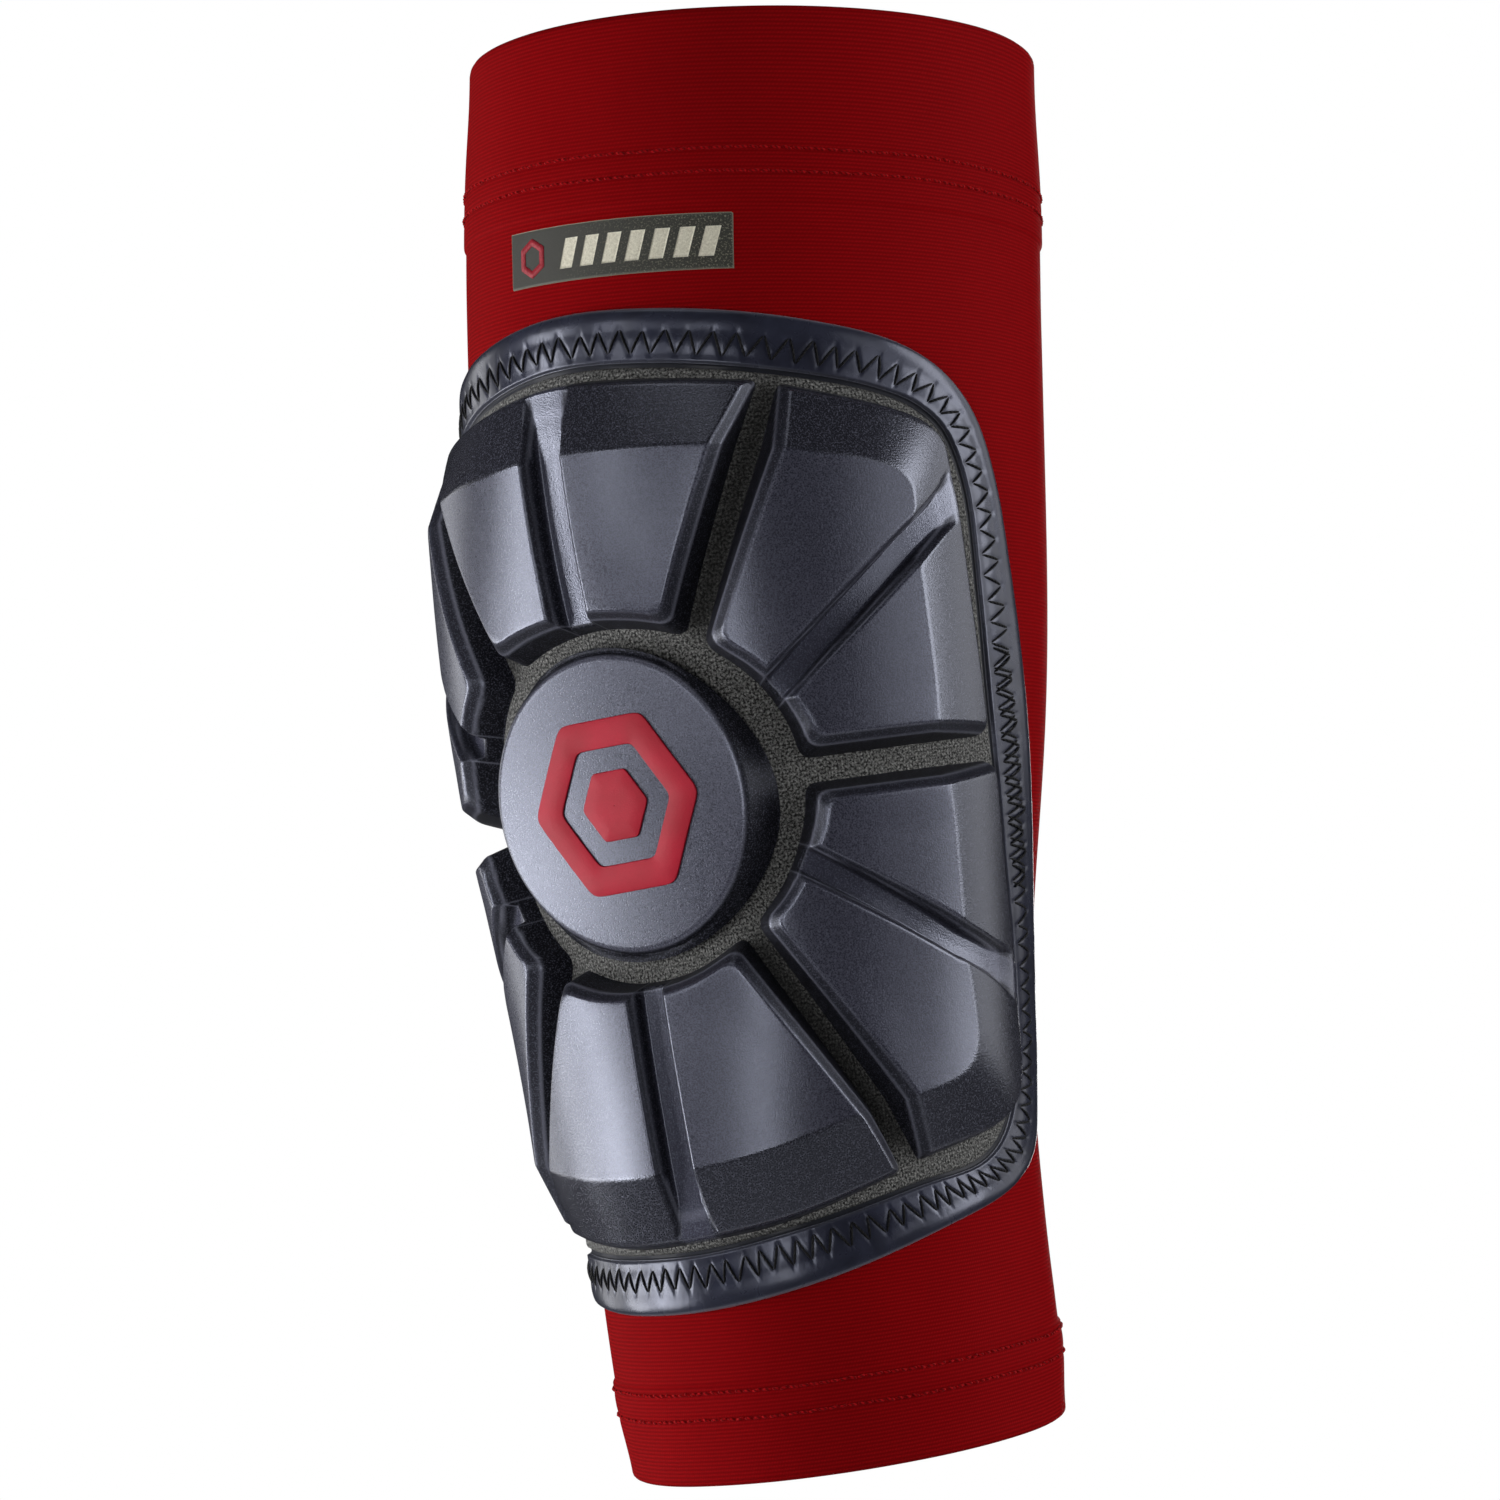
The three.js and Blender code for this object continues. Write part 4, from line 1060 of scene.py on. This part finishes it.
def label_sheet(name, sides, ends, heights, counts, material, slant=0.0, shares=None):
    """A thin rounded-off sheet on the knit, between two angles, two ends and two heights."""
    a, b = grid(np.radians(np.linspace(*sides, counts[0])), np.linspace(*ends, counts[1]))
    a = a + slant * (b - ends[0]) / (ends[1] - ends[0])
    knit = knit_height(a, b)
    lift = np.full(a.shape, 0.35)
    lift[1:-1, 1:-1] = 1.0
    base, top = heights
    return slab(name, on_sleeve(a, b, knit + base + (top - base) * lift), on_sleeve(a, b, knit + base),
                np.stack([a * PAD_RADIUS, b], -1), material, False, shares and shares(a, b), True)


def label_shares(a, b):
    width = LABEL_RIGHT - LABEL_LEFT
    right = (np.degrees(a) - LABEL_LEFT) / width
    edge = np.minimum(np.minimum(b - LABEL_LOW, LABEL_HIGH - b),
                      np.minimum(right, 1 - right) * width * math.pi / 180 * PAD_RADIUS)
    return {"right": right, "edge": bell(edge, 0.18)}


def make_label_hexagon():
    """A plain hexagon outline printed on the label."""
    angles = ring_angles(96)
    ro, ri = hexagon_radius(angles, HEXAGON_OUTER, 40), hexagon_radius(angles, HEXAGON_INNER, 40)
    rows = []
    for r, h in ((ri, PRINT_BASE), (ri, PRINT_TOP), (ro, PRINT_TOP), (ro, PRINT_BASE)):
        phi, s = HEXAGON_PHI + r * np.cos(angles) / LABEL_RADIUS, HEXAGON_S + r * np.sin(angles)
        rows.append(on_sleeve(phi, s, knit_height(phi, s) + h))
    points = np.stack(rows, 1)
    return surface("label_hexagon_print", points, closed(points[..., [0, 2]]), LABEL_RED)


label = label_sheet("label_film_patch", (LABEL_LEFT, LABEL_RIGHT), (LABEL_LOW, LABEL_HIGH),
                    (-0.1, LABEL_TOP), (140, 42), LABEL, shares=label_shares)
declare(label, "label_film", "upper", "label_patch")
declare(make_label_hexagon(), "red_inlay", "upper", "label_hexagon")
bars = []
for i in range(BARS):
    left = BAR_FROM + i * BAR_STEP
    bars.append(label_sheet(f"label_bar_{i + 1}", (left, left + BAR_WIDTH), (BAR_LOW, BAR_HIGH),
                            (PRINT_BASE, PRINT_TOP), (8, 12), LABEL_CREAM, BAR_SLANT))
for bar in bars[1:]:
    bar.parent = bars[0]
declare(bars[0], "label_print", "upper", "label_bars")

# ---- camera, light and floor ----
AZIMUTH, ELEVATION, ROLL = 34.46, -2.24, math.radians(-4.33)
TARGET, DISTANCE, LENS = Vector((-0.00348, -0.00286, 0.00996)), 2.246, 287.8
LIGHT_DISTANCE, LIGHT_SPREAD = 1.3, math.radians(110)
# Each light: name, azimuth and elevation in degrees seen from the guard, size in metres, power in watts.
LIGHTS = (
    ("key_low", -50, -14, (0.4, 0.4), 2.4), ("key_high", -50, 6, (0.4, 0.4), 1.7),
    ("edge_low", -72, -14, (0.4, 0.4), 1.5), ("front_left", -17, 8, (0.3, 0.4), 0.6),
    ("front_middle", 0, 0, (0.3, 0.6), 0.3), ("front_right", 18, -5, (0.3, 0.6), 1.15),
    ("side_right", 84, 5, (0.45, 0.8), 0.6), ("back_right", 114, 8, (0.6, 1.0), 4.2),
    ("rim_right", 145, 10, (0.6, 1.0), 1.0), ("back_left", -152, 8, (0.5, 1.0), 2.6),
    ("edge_left", -98, 0, (0.4, 0.7), 0.7), ("overhead", 0, 62, (0.8, 0.6), 0.6),
)
WHITE, DIM = ((1, 1, 1, 1), 1.0), ((0.93, 0.95, 1, 1), 0.014)
FLOOR_HALF, FLOOR_HEIGHT = 4000, -800.0


def direction(azimuth, elevation):
    """The direction from the guard's middle at that azimuth and elevation in degrees."""
    a, e = math.radians(azimuth), math.radians(elevation)
    return Vector((math.sin(a) * math.cos(e), -math.cos(a) * math.cos(e), math.sin(e)))


def make_camera():
    back = direction(AZIMUTH, ELEVATION)
    right = Vector((math.cos(math.radians(AZIMUTH)), math.sin(math.radians(AZIMUTH)), 0))
    up = back.cross(right)
    data = bpy.data.cameras.new("camera")
    data.lens, data.sensor_width = LENS, 36.0
    data.clip_start, data.clip_end = 0.1, 50
    camera = bpy.data.objects.new("camera", data)
    axes = (right * math.cos(ROLL) + up * math.sin(ROLL), up * math.cos(ROLL) - right * math.sin(ROLL), back)
    camera.matrix_world = Matrix.Translation(TARGET + back * DISTANCE) @ Matrix(axes).transposed().to_4x4()
    bpy.context.scene.collection.objects.link(camera)
    bpy.context.scene.camera = camera


def make_light(name, azimuth, elevation, size, power):
    """An area light that looks at the guard's middle from that direction."""
    light = bpy.data.lights.new(name, "AREA")
    light.shape, light.size, light.size_y = "RECTANGLE", *size
    light.energy, light.spread = power, LIGHT_SPREAD
    obj = bpy.data.objects.new(name, light)
    obj.location = direction(azimuth, elevation) * LIGHT_DISTANCE
    obj.rotation_euler = direction(azimuth, elevation).to_track_quat("Z", "Y").to_euler()
    bpy.context.scene.collection.objects.link(obj)


def make_world():
    """White where the camera sees it, and nearly dark as a light on the guard."""
    world = bpy.data.worlds.new("studio")
    world.use_nodes = True
    bpy.context.scene.world = world
    nodes, link = world.node_tree.nodes, world.node_tree.links.new
    nodes.clear()
    out, mixer, path, dim, white = (nodes.new("ShaderNode" + kind) for kind in (
        "OutputWorld", "MixShader", "LightPath", "Background", "Background"))
    for node, (colour, strength) in ((dim, DIM), (white, WHITE)):
        node.inputs[0].default_value, node.inputs[1].default_value = colour, strength
    for i, source in enumerate((path.outputs["Is Camera Ray"], dim.outputs[0], white.outputs[0])):
        link(source, mixer.inputs[i])
    link(mixer.outputs[0], out.inputs[0])


def make_floor():
    """A pale floor that glows faintly for the camera only, so that it stays pale from every side."""
    look = Look("studio_floor", Roughness=0.9, Specular_IOR_Level=0.1)
    pale = look.mix(look.noise(look.place(), 3.0, 3.0), (0.93, 0.93, 0.93, 1), (0.97, 0.97, 0.97, 1))
    look.put(Base_Color=pale, Emission_Color=pale, Emission_Strength=look.node("LightPath"))
    x, y = grid(*[np.linspace(-FLOOR_HALF, FLOOR_HALF, 3)] * 2)
    points = np.stack([x, y, np.full_like(x, FLOOR_HEIGHT)], -1)
    return build_mesh("studio_floor", points, grid_quads(3, 3, False, False)[0], None, None, look.material)


make_camera()
for light in LIGHTS:
    make_light(*light)
make_world()
make_floor()

bpy.context.scene.view_settings.view_transform = "Standard"
bpy.context.scene.view_settings.look = "None"

bpy.context.view_layer.update()
